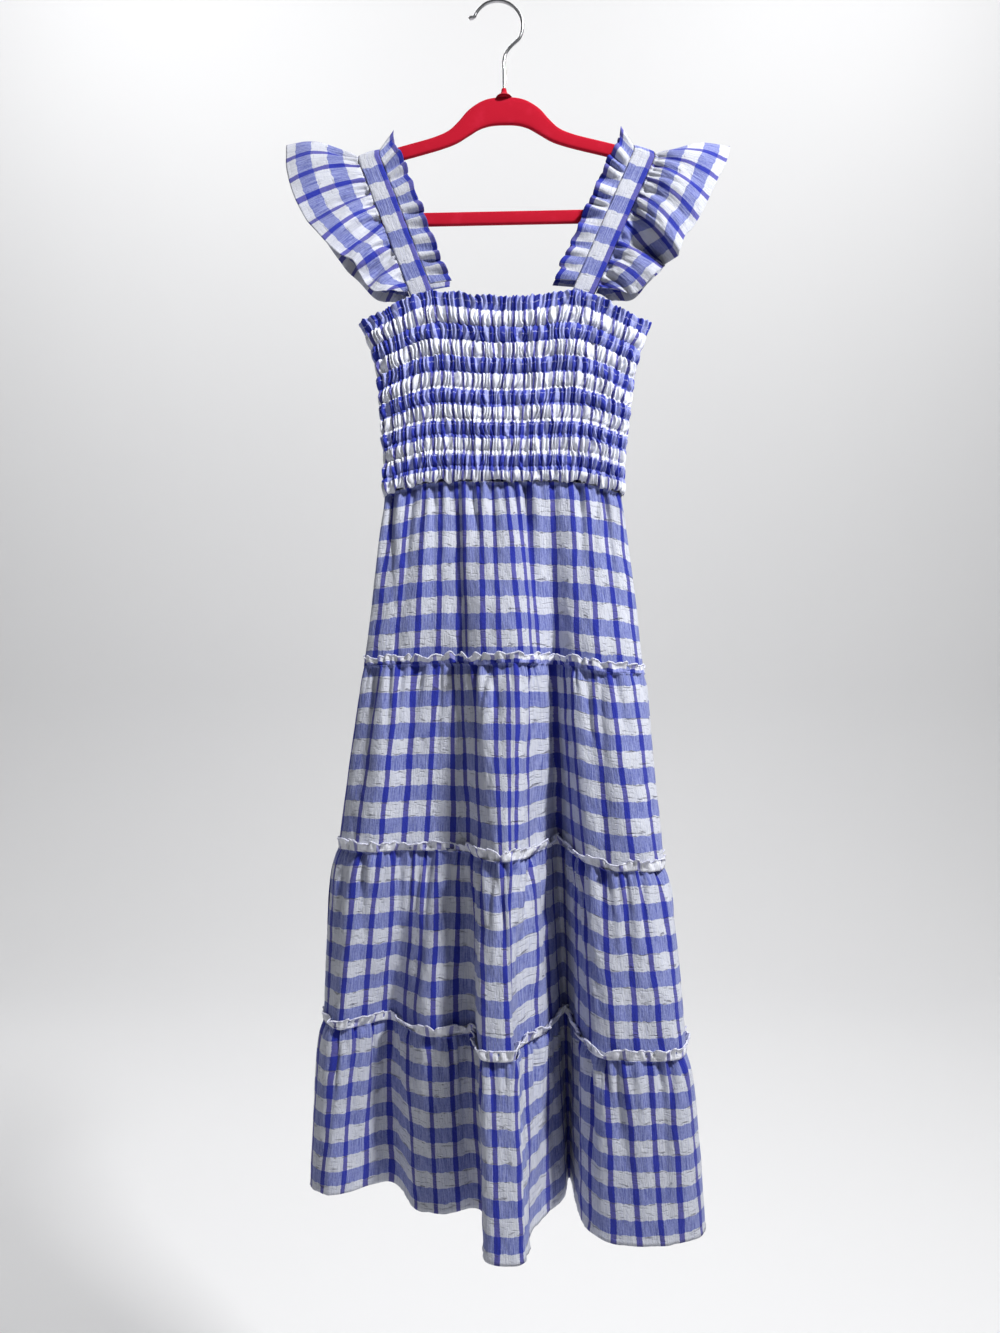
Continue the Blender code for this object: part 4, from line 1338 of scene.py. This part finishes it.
        top = self.level_height(place[..., 0], tier)
        bottom = self.level_height(place[..., 0], tier + 1)
        height = top + (bottom - top) * down[:, None]
        if tier == 3:
            height = height + 0.8 * (down[:, None] ** 6) * wander(arc / 17.0, seed + 5)[None, :]
        grid = np.concatenate([place, height[..., None]], axis=-1).transpose(1, 0, 2)
        outward = np.concatenate([out, 0 * height[..., None]], axis=-1).transpose(1, 0, 2)
        return grid, outward, arc

    def stripes(self, tier: int, side: Side, places: Array, arc: Array) -> Array:
        """Places across the bolt for each column: by the table in front, evenly behind."""
        if side is Side.BACK:
            return arc * STRIPE_REPEAT / BACK_STRIPE_PITCH + self.back_start
        table = np.interp(TIER_CUTS[tier].stripes, places, arc)
        return stripe_places(arc, table)

    def tier(self, ring: Array, tier: int, side: Side) -> bpy.types.Object:
        """One panel of a tier as a shell on the check, its stripes drawn aside by the gathers
        and its bands sagging a little.

        Args:
            ring: the folds' places.
            tier: from 0.
            side: front or back.

        Returns:
            The piece.
        """
        spacing = self.column if side is Side.FRONT else self.column * self.back_column
        places = self.columns(ring, tier, side, spacing)
        length = self.length(tier)
        down = np.linspace(0.0, 1.0, int(length / self.step)) ** 1.12
        grid, outward, arc = self.panel(ring, tier, side, places, down)
        cut = TIER_CUTS[tier]
        drop = down * length
        seed = 100 * tier + (9 if side is Side.FRONT else 59)
        drawn = 3.4 * wander(arc / 9.0, seed)[:, None] * np.exp(-drop / 24.0)[None, :]
        drawn = drawn + 0.9 * ripple(arc[:, None] / 19.0, drop[None, :] / 27.0, seed + 6)
        u = self.stripes(tier, side, places, arc)[:, None] + drawn
        sag = 1.3 * wander(arc / 22.0, seed + 1)[:, None] * (0.5 + np.exp(-drop / 60.0))[None, :]
        sag = sag + 0.7 * ripple(arc[:, None] / 11.0, drop[None, :] / 40.0, seed + 7)
        v = cut.band_start + (cut.band_end - cut.band_start) * down[None, :]
        v = v + sag * np.clip(down * 12, 0, 1)
        name = f"tier_{tier + 1}_{side.value}"
        piece = make_shell(f"{name}_cloth", grid, np.stack([u, v], axis=-1), self.cloth, outward,
                           self.finishes.skirt)
        dress(piece, "checked_cloth", name)
        return piece

    def frill(self, ring: Array, tier: int, side: Side) -> bpy.types.Object:
        """The raw heading of the tier below, standing in waves over the seam at the bottom of
        this tier, with overlock thread along its edge.

        Args:
            ring: the folds' places.
            tier: the upper tier, from 0.
            side: front or back.

        Returns:
            The piece, without its thread.
        """
        places = self.columns(ring, tier + 1, side, self.heading_step)
        rise = np.linspace(0.0, 1.0, 10)
        down = 1.0 - rise * self.heading / self.length(tier)
        grid, outward, arc = self.panel(ring, tier, side, places, down)
        seed = 400 + 10 * tier + (0 if side is Side.FRONT else 5)
        small, large = wander(arc / 2.9, seed), wander(arc / 8.0, seed + 1)
        lean = 0.55 + rise[None, :] ** 1.1 * (2.8 + 2.7 * small + 2.3 * large)[:, None]
        curl = 2.0 * np.sin(math.pi * rise)[None, :] * wander(arc / 2.5, seed + 2)[:, None]
        ends = np.clip(np.minimum(arc, arc[-1] - arc) / 9.0, 0.2, 1.0)[:, None]
        points = grid + outward * ((lean + curl) * ends)[..., None]
        dip = 4.2 * (0.5 - 0.5 * small) + 4.4 * np.clip(large, 0, 1) ** 2 - 1.8
        points[..., 2] -= rise[None, :] * dip[:, None]
        points[..., 2] += 0.9 * wander(arc / 15.0, seed + 4)[:, None]
        points[:, 0, 2] -= 0.8
        u = self.stripes(tier + 1, side, places, arc)[:, None] + 0 * rise[None, :]
        v = TIER_CUTS[tier + 1].band_start - rise[None, :] * (self.heading + 1.0) + 0 * u
        node = f"seam_frill_{tier + 1}_{side.value}"
        piece = make_shell(f"{node}_cloth", points, np.stack([u, v], axis=-1), self.heading_cloth,
                           outward, self.finishes.frill)
        dress(piece, "checked_cloth", node)
        thread = self.overlock(f"{node}_overlock", points[:, -1], outward[:, -1], seed + 3)
        return piece

    def overlock(self, name: str, edge: Array, outward: Array, seed: int) -> bpy.types.Object:
        """Overlock thread along an edge: a tube whose radius swells with each loop.

        Args:
            name: of the piece.
            edge: points of the edge.
            outward: the direction that the cloth faces at each.
            seed: of the loops' wander.

        Returns:
            The piece.
        """
        run = run_length(edge)
        fine = np.arange(0.0, run[-1], 0.8)
        path = np.stack([np.interp(fine, run, edge[:, axis]) for axis in range(3)], axis=1)
        facing = np.stack([np.interp(fine, run, outward[:, axis]) for axis in range(3)], axis=1)
        turn = 2 * math.pi * fine / self.thread_loop + 1.3 * wander(fine / 5.0, seed)
        beads = self.thread_radius * (1 + 0.28 * np.sin(turn))
        return dress(make_cord(name, path, beads, facing, 6, self.finishes.thread), "checked_cloth")

    def build(self) -> None:
        """All tiers, then the headings on the three seams between them."""
        ring = self.ring()
        for tier in range(len(TIER_CUTS)):
            for side in Side:
                self.tier(ring, tier, side)
        for tier in range(len(TIER_CUTS) - 1):
            for side in Side:
                self.frill(ring, tier, side)


@dataclass
class ShoulderSet:
    """One strap over the hanger's arm, its frill towards the neck and its sleeve ruffle."""

    strap: StrapLine
    finishes: Finishes
    width: float = 20.0
    thick: float = 1.5
    reach: float = 8.6
    tuck: float = 9.0
    clear: float = 1.6
    edge_gap: float = 0.3
    foot_share: float = 0.042
    foot_share: float = 0.042
    strap_pitch: float = 31.4
    frill_width: float = 19.0
    frill_waves: int = 18
    frill_depth: float = 3.1
    frill_gather: float = 1.4
    ruffle_fall: float = 0.075
    ruffle_area: float = 0.6
    ruffle_pitch: float = 23.6

    def arm_top(self) -> float:
        """Height of the upper edge of the hanger's arm under the strap."""
        upper = [station.z + station.height / 2 for station in HANGER_ARM]
        level = np.interp(abs(self.strap.arm_x), [station.x for station in HANGER_ARM], upper)
        return float(level + HANGER_TILT * self.strap.arm_x)

    def frame(self, share: Array) -> tuple[Array, Array, Array, float]:
        """Places along the strap's middle line: up the front leg, round the arm in a half
        circle and down the back leg.

        Args:
            share: of the whole run, from front foot to back foot.

        Returns:
            The places, the direction across the strap away from the neck, the directions out
            of the cloth, and the whole run in mm.
        """
        strap = self.strap
        radius = self.reach - self.thick / 2
        across = unit(np.array([strap.side, 0.0, -0.31]))
        base = self.arm_top() + self.clear + self.thick / 2 - radius
        leg = base - (strap.foot_z - self.tuck)
        lean = strap.arm_x - strap.foot_x
        foot_x = strap.foot_x - lean * self.tuck / (base - strap.foot_z)
        run = math.hypot(leg, strap.arm_x - foot_x)
        arch = math.pi * radius
        at = np.asarray(share) * (2 * run + arch)
        up = np.clip(at / run, 0, 1) - np.clip((at - run - arch) / run, 0, 1)
        turn = np.clip((at - run) / arch, 0, 1) * math.pi
        place = np.stack([foot_x + (strap.arm_x - foot_x) * up, -radius * np.cos(turn),
                          strap.foot_z - self.tuck + leg * up + radius * np.sin(turn)], axis=-1)
        outward = np.stack([0 * turn, -np.cos(turn), np.sin(turn)], axis=-1)
        return place, across, outward, 2 * run + arch

    def build_strap(self) -> bpy.types.Object:
        """The double strip: a flat band, a little crowned, puckered along both seams."""
        share = np.linspace(0.0, 1.0, 280)
        place, across, outward, run = self.frame(share)
        side = np.linspace(-1.0, 1.0, 15)
        along = share * run
        seed = 700 + self.strap.side
        edge = np.abs(side) ** 6
        crown = 0.22 * (1 - side**2)[None, :]
        crown = crown + 0.14 * ripple(along[:, None] / 6.0, side[None, :] * 3.0 + 9, seed)
        pucker = 0.30 * edge[None, :] * wander(along / 2.6, seed + 1)[:, None]
        shape = crown + pucker - 0.35 * edge[None, :]
        half = self.width / 2 - 0.15 + 0.22 * wander(along / 4.0, seed + 2)
        grid = place[:, None] + across * (side[None, :] * half[:, None])[..., None]
        grid = grid + outward[:, None] * (self.thick / 2 + shape)[..., None]
        seen_right = side * self.strap.side
        u = seen_right[None, :] * self.width / 2 - (self.width / 2 - 2.2) + 0 * shape
        rows = (along - self.tuck)[:, None] * BAND_REPEAT / self.strap_pitch
        rows = rows + 0.2 * BAND_REPEAT / 2 + BAND_REPEAT / 2
        v = rows + 0 * u + 0.3 * wander(side * 2.0 + 5, seed + 3)[None, :]
        face = np.broadcast_to(outward[:, None], grid.shape)
        name = f"strap_{self.strap.name}"
        piece = make_shell(f"{name}_cloth", grid, np.stack([u, v], axis=-1), self.thick, face,
                           self.finishes.trim, thin=1)
        dress(piece, "checked_cloth", name)
        return piece

    def build_frill(self) -> bpy.types.Object:
        """The frill towards the neck: its width raised from the strap's edge, thrown into
        flattened waves that grow to the free edge."""
        count = self.frill_waves * 14 + 1
        along = np.linspace(0.0, 1.0, count)
        share = self.foot_share + (1 - 2 * self.foot_share) * along
        place, across, outward, run = self.frame(share)
        seed = 760 + self.strap.side
        rise = np.radians(44.0 * np.exp(-(((share - 0.5) / 0.16) ** 2)) + 8.0)
        inward = np.stack([-self.strap.side * np.cos(rise), 0 * rise, np.sin(rise)], axis=-1)
        reach = np.linspace(0.0, 1.0, 15)
        turn = 2 * math.pi * (self.frill_waves * along + 0.75 * wander(along * 17, seed))
        wave = np.cos(turn) + 0.28 * np.cos(2 * turn + 0.6) + 0.25 * wander(along * 90, seed + 1)
        size = self.frill_depth * (1 + 0.75 * wander(along * 21, seed + 2))
        grow = reach ** 0.7
        width = self.frill_width * (1 + 0.05 * np.cos(turn + 0.9) + 0.09 * wander(along * 37, seed + 3))
        edge = place - across * (self.width / 2 + self.edge_gap)
        grid = edge[:, None] + inward[:, None] * (width[:, None] * reach[None, :])[..., None]
        grid = grid + outward[:, None] * ((size * wave)[:, None] * grow[None, :] + 0.5)[..., None]
        roll = 0.5 * np.exp(-(((1 - reach) / 0.06) ** 2))
        grid = grid + outward[:, None] * roll[None, :, None]
        slide = 1.6 * np.sin(turn)[:, None] * grow[None, :]
        tangent = unit(np.gradient(place, axis=0))
        grid = grid + tangent[:, None] * slide[..., None]
        u = reach[None, :] * self.frill_width - (self.frill_width - 1.9) + 0 * grid[..., 0]
        v = (share * run)[:, None] * 1.95 + 4.0 + 0 * u
        face = np.broadcast_to(outward[:, None], grid.shape)
        name = f"inner_frill_{self.strap.name}"
        piece = make_shell(f"{name}_cloth", grid, np.stack([u, v], axis=-1), 0.7, face,
                           self.finishes.trim, thin=1)
        dress(piece, "checked_cloth", name)
        return piece

    def build_ruffle(self) -> bpy.types.Object:
        """The sleeve ruffle: straight lines from the strap's edge to the hem, bulged by each
        flute, gathered into small creases at the strap, with its cloth turned so that the
        bands follow the hem."""
        flutes = RUFFLES[self.strap.name]
        knots = [flute.share for flute in flutes]
        table = np.array([flute[1:] for flute in flutes], float)
        fine = np.linspace(0.0, 1.0, 2001)
        hem_run = run_length(smooth_rows(table, fine, knots)[:, :3])
        along = np.interp(np.linspace(0, hem_run[-1], 330), hem_run, fine)
        read = smooth_rows(table, along, knots)
        hem, bulge = read[:, :3], np.pad(read[:, 3:], ((0, 0), (1, 0)))
        place, across, _, run = self.frame(self.foot_share + (1 - 2 * self.foot_share) * along)
        root = place + across * (self.width / 2 + self.edge_gap)
        reach = np.linspace(0.0, 1.0, 46)
        r = reach[None, :, None]
        grid = root[:, None] * (1 - r) + hem[:, None] * r + bulge[:, None] * 4 * r * (1 - r)
        normal = grid_normals(grid)
        front = normal[60:120, 8:20] @ np.array([0.0, -1.0, 0.0])
        normal = normal * (-1.0 if float(front.mean()) < 0 else 1.0)
        down = run_length_rows(grid)
        seed = 820 + self.strap.side
        root_arc = along * run
        fall = np.linspace(0.0, 70.0, len(reach))
        fine_creases, broad_creases = RUFFLE_CREASES
        relief = -creases(root_arc, fall, fine_creases, seed)
        relief -= creases(root_arc, fall, broad_creases, seed + 5)
        relief += 1.1 * np.exp(-fall / 14.0)[None, :] * np.clip(fall / 3.0, 0, 1)[None, :]
        relief += 1.1 * ripple(along[:, None] * 40.0, reach[None, :] * 3.0, seed + 1)
        relief += 0.35 * ripple(along[:, None] * 110.0, reach[None, :] * 9.0, seed + 2)
        relief = relief * np.clip(fall / 2.5, 0.0, 1.0)[None, :]
        relief += 0.35 * np.exp(-(((fall[-1] - fall) / 1.6) ** 2))[None, :]
        grid = grid + normal * relief[..., None]
        hem_arc = np.interp(along, fine, hem_run)
        middle = np.interp(0.5, fine, hem_run)
        u = ((hem_arc - middle) * STRIPE_REPEAT / self.ruffle_pitch)[:, None] + 0 * down
        u = u + 2.2 * wander(root_arc / 7.0, seed + 3)[:, None] * np.exp(-fall / 16.0)[None, :]
        v = (down[:, -1:] - down) - 9.3 + 0.7 * wander(along * 30, seed + 4)[:, None]
        name = f"sleeve_ruffle_{self.strap.name}"
        piece = make_shell(f"{name}_cloth", grid, np.stack([u, v], axis=-1), 0.8, normal,
                           self.finishes.trim)
        dress(piece, "checked_cloth", name)
        return piece

    def build(self) -> None:
        """Strap, frill and ruffle."""
        self.build_strap()
        self.build_frill()
        self.build_ruffle()



@dataclass
class Hanger:
    """The flat moulded loop with its flocked pile, collar and wire hook."""

    finishes: Finishes
    thick: float = 5.6
    bar_z: float = -200.0
    bar_height: float = 11.9
    end_x: float = 176.0
    wire: float = 1.55
    hook_radius: float = 23.25
    hook_centre: tuple[float, float] = (-6.0, -21.1)

    def loop(self, count: int) -> Array:
        """The closed middle line with the moulding's height: the arm's stations, a round turn
        at each end and the straight bar, joined by a smooth closed curve.

        Args:
            count: of places, evenly spaced.

        Returns:
            (place, 3) of x, z and height.
        """
        arm = np.array(HANGER_ARM)
        low = arm[-1]
        radius = (low[1] - self.bar_z) / 2
        turn = np.radians(np.linspace(68.0, -68.0, 7))
        end = np.stack([self.end_x - self.bar_height / 2 - radius + radius * np.cos(turn),
                        (low[1] + self.bar_z) / 2 + radius * np.sin(turn) * 0.98,
                        np.full(len(turn), self.bar_height - 1.0)], axis=1)
        bar_x = np.array([140.0, 95.0, 45.0, 0.0])
        bar = np.stack([bar_x, np.full_like(bar_x, self.bar_z),
                        np.full_like(bar_x, self.bar_height)], axis=1)
        half = np.concatenate([arm, end, bar])
        whole = np.concatenate([half, half[1:-1][::-1] * np.array([-1.0, 1.0, 1.0])])
        segment = np.repeat(np.arange(len(whole)), 24)
        share = np.tile(np.arange(24) / 24.0, len(whole))
        fine = ring_path(whole[None], segment, share)[0][0]
        fine = np.concatenate([fine, fine[:1]])
        run = run_length(fine)
        even = np.linspace(0.0, run[-1], count, endpoint=False)
        return np.stack([np.interp(even, run, fine[:, axis]) for axis in range(3)], axis=1)

    def build_frame(self) -> bpy.types.Object:
        """A rounded section, the height of the moulding by its thickness, round the loop."""
        loop = self.loop(330)
        line = loop[:, :2]
        along = unit(np.roll(line, -1, axis=0) - np.roll(line, 1, axis=0))
        side = np.stack([-along[:, 1], along[:, 0]], axis=1)
        angle = 2 * math.pi * np.arange(24) / 24
        power = 2.0 / 4.6
        depth = self.thick / 2 * np.sign(np.cos(angle)) * np.abs(np.cos(angle)) ** power
        offset = np.sign(np.sin(angle)) * np.abs(np.sin(angle)) ** power
        across = offset[None, :] * loop[:, 2:3] / 2
        x = line[:, None, 0] + side[:, None, 0] * across
        z = line[:, None, 1] + side[:, None, 1] * across
        points = np.stack([x, depth[None, :] + 0 * x, z + HANGER_TILT * x], axis=-1)
        index = np.arange(points.shape[0] * points.shape[1]).reshape(points.shape[:2])
        index = np.pad(index, ((0, 1), (0, 1)), mode="wrap")
        piece = make_piece("hanger_frame_flock", points.reshape(-1, 3), quad_faces(index), None,
                           self.finishes.flock)
        return dress(piece, "red_flock", "hanger_frame")

    def build_hook(self) -> bpy.types.Object:
        """The wire: up the neck, out to the right, over the top and down to its rounded tip."""
        centre = np.array(self.hook_centre)
        turn = np.radians(np.linspace(-30.0, 150.0, 22))
        arc = centre + self.hook_radius * np.stack([np.cos(turn), np.sin(turn)], axis=1)
        neck = np.array([[0.0, -79.6], [0.0, -66.0], [0.2, -52.0], [1.6, -46.5], [5.6, -41.0],
                         [10.8, -36.0]])
        tip = np.array([[-28.0, -13.0], [-31.0, -13.8], [-33.0, -13.9]])
        flat = np.concatenate([neck, arc, tip])
        run = run_length(flat)
        fine = np.linspace(0.0, run[-1], 220)
        smooth = smooth_rows(flat, fine, run)
        path = np.stack([smooth[:, 0], 0 * fine, smooth[:, 1]], axis=1)
        left = run[-1] - fine
        radius = self.wire + 0.3 * np.exp(-(((left - 2.2) / 1.8) ** 4))
        radius = radius * np.sqrt(np.clip(1 - (np.clip(1.5 - left, 0, 1.5) / 1.55) ** 2, 0.02, 1))
        up = np.array([0.0, 1.0, 0.0])
        piece = make_cord("hanger_hook_wire", path, radius, up, 20, self.finishes.wire)
        return dress(piece, "hook_wire", "hanger_hook")

    def build_collar(self) -> bpy.types.Object:
        """The collar that grips the wire: a profile turned about the neck's line."""
        height = np.array([-88.2, -87.0, -86.2, -85.4, -84.2, -82.8, -81.4, -80.4, -79.9])
        radius = np.array([7.6, 6.6, 5.2, 4.1, 3.2, 2.7, 2.45, 2.35, 2.0])
        fine = np.linspace(height[0], height[-1], 40)
        path = np.stack([0 * fine, 0 * fine, fine], axis=1)
        up = np.array([0.0, 1.0, 0.0])
        piece = make_cord("hanger_collar_flock", path, np.interp(fine, height, radius), up, 32,
                          self.finishes.flock)
        return dress(piece, "red_flock", "hanger_collar")

    def build(self) -> None:
        """Loop, collar and hook."""
        self.build_frame()
        self.build_collar()
        self.build_hook()


@dataclass
class Studio:
    """A pale floor that curves up into a far wall, soft lights and the camera."""

    floor_z: float = -1.70
    wall_y: float = 3.4
    camera_place: tuple[float, float, float] = (-0.0037, -0.950, -0.6168)
    lens: float = 27.59
    pale: Colour = (0.80, 0.80, 0.81)
    paler: Colour = (0.84, 0.84, 0.845)
    air: Colour = (0.97, 0.98, 1.0)
    air_light: float = 0.105

    def build_backdrop(self) -> None:
        """A sheet: flat floor, a quarter round of one metre, then an upright wall."""
        radius = 1.0
        turn = np.linspace(0.0, math.pi / 2, 16)
        y = np.concatenate([[-5.0], self.wall_y - radius + radius * np.sin(turn), [self.wall_y]])
        z = np.concatenate([[0.0], radius - radius * np.cos(turn), [5.5]]) + self.floor_z
        x = np.array([-7.0, 7.0])
        grid = np.stack(np.broadcast_arrays(x[:, None], y[None, :], z[None, :]), axis=-1)
        index = np.arange(grid.shape[0] * grid.shape[1]).reshape(grid.shape[:2])
        mesh = bpy.data.meshes.new("studio_backdrop")
        mesh.from_pydata(grid.reshape(-1, 3).tolist(), [], quad_faces(index).tolist())
        mesh.shade_smooth()
        made, hand, shader = new_material("studio_paper")
        place = hand.add("ShaderNodeTexCoord").outputs["Object"]
        tone = hand.mix(hand.noise(place, (0.6, 0.6, 0.6), 2.0), self.pale, self.paler)
        hand.fill(shader, {"Base Color": tone, "Roughness": 0.9})
        mesh.materials.append(made)
        backdrop = bpy.data.objects.new("studio_backdrop", mesh)
        bpy.context.collection.objects.link(backdrop)

    def add_light(self, lamp: Lamp) -> None:
        """A soft square light, turned to face its aim."""
        data = bpy.data.lights.new(lamp.name, "AREA")
        data.size = lamp.size
        data.energy = lamp.power
        made = bpy.data.objects.new(lamp.name, data)
        forward = unit(np.array(lamp.aim) - np.array(lamp.place))
        side = unit(np.cross(forward, np.array([0.0, 0.0, 1.0])))
        rise = np.cross(side, forward)
        matrix = np.eye(4)
        matrix[:3] = np.stack([side, rise, -forward, lamp.place], axis=1)
        made.matrix_world = matrix.T.tolist()
        bpy.context.collection.objects.link(made)

    def build_lights(self) -> None:
        """A key from the upper right in front, a weak fill, one from behind, two on the wall,
        and a dim even sky."""
        for lamp in LAMPS:
            self.add_light(lamp)
        world = bpy.data.worlds.new("studio_air")
        world.use_nodes = True
        hand = Nodes(world.node_tree)
        hand.fill(world.node_tree.nodes["Background"], {"Color": self.air, "Strength": self.air_light})
        bpy.context.scene.world = world
        bpy.context.scene.view_settings.view_transform = "Standard"

    def build_camera(self) -> None:
        """The camera, level and square to the dress, at the photograph's distance."""
        data = bpy.data.cameras.new("camera")
        data.lens = self.lens
        data.sensor_width = 36.0
        camera = bpy.data.objects.new("camera", data)
        camera.location = self.camera_place
        camera.rotation_euler = (math.pi / 2, 0.0, 0.0)
        bpy.context.collection.objects.link(camera)
        bpy.context.scene.camera = camera


def main() -> None:
    """Builds the object over its frame, then the studio."""
    logging.basicConfig(level=logging.INFO, format="%(name)s %(message)s")
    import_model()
    studio = Studio()
    studio.build_camera()
    finishes = Finishes()
    bodice = Bodice(finishes)
    bodice.build()
    Skirt(finishes, bodice).build()
    for strap in STRAPS:
        ShoulderSet(strap, finishes).build()
    Hanger(finishes).build()
    studio.build_backdrop()
    studio.build_lights()
    bpy.context.view_layer.update()


if __name__ == "__main__":
    main()
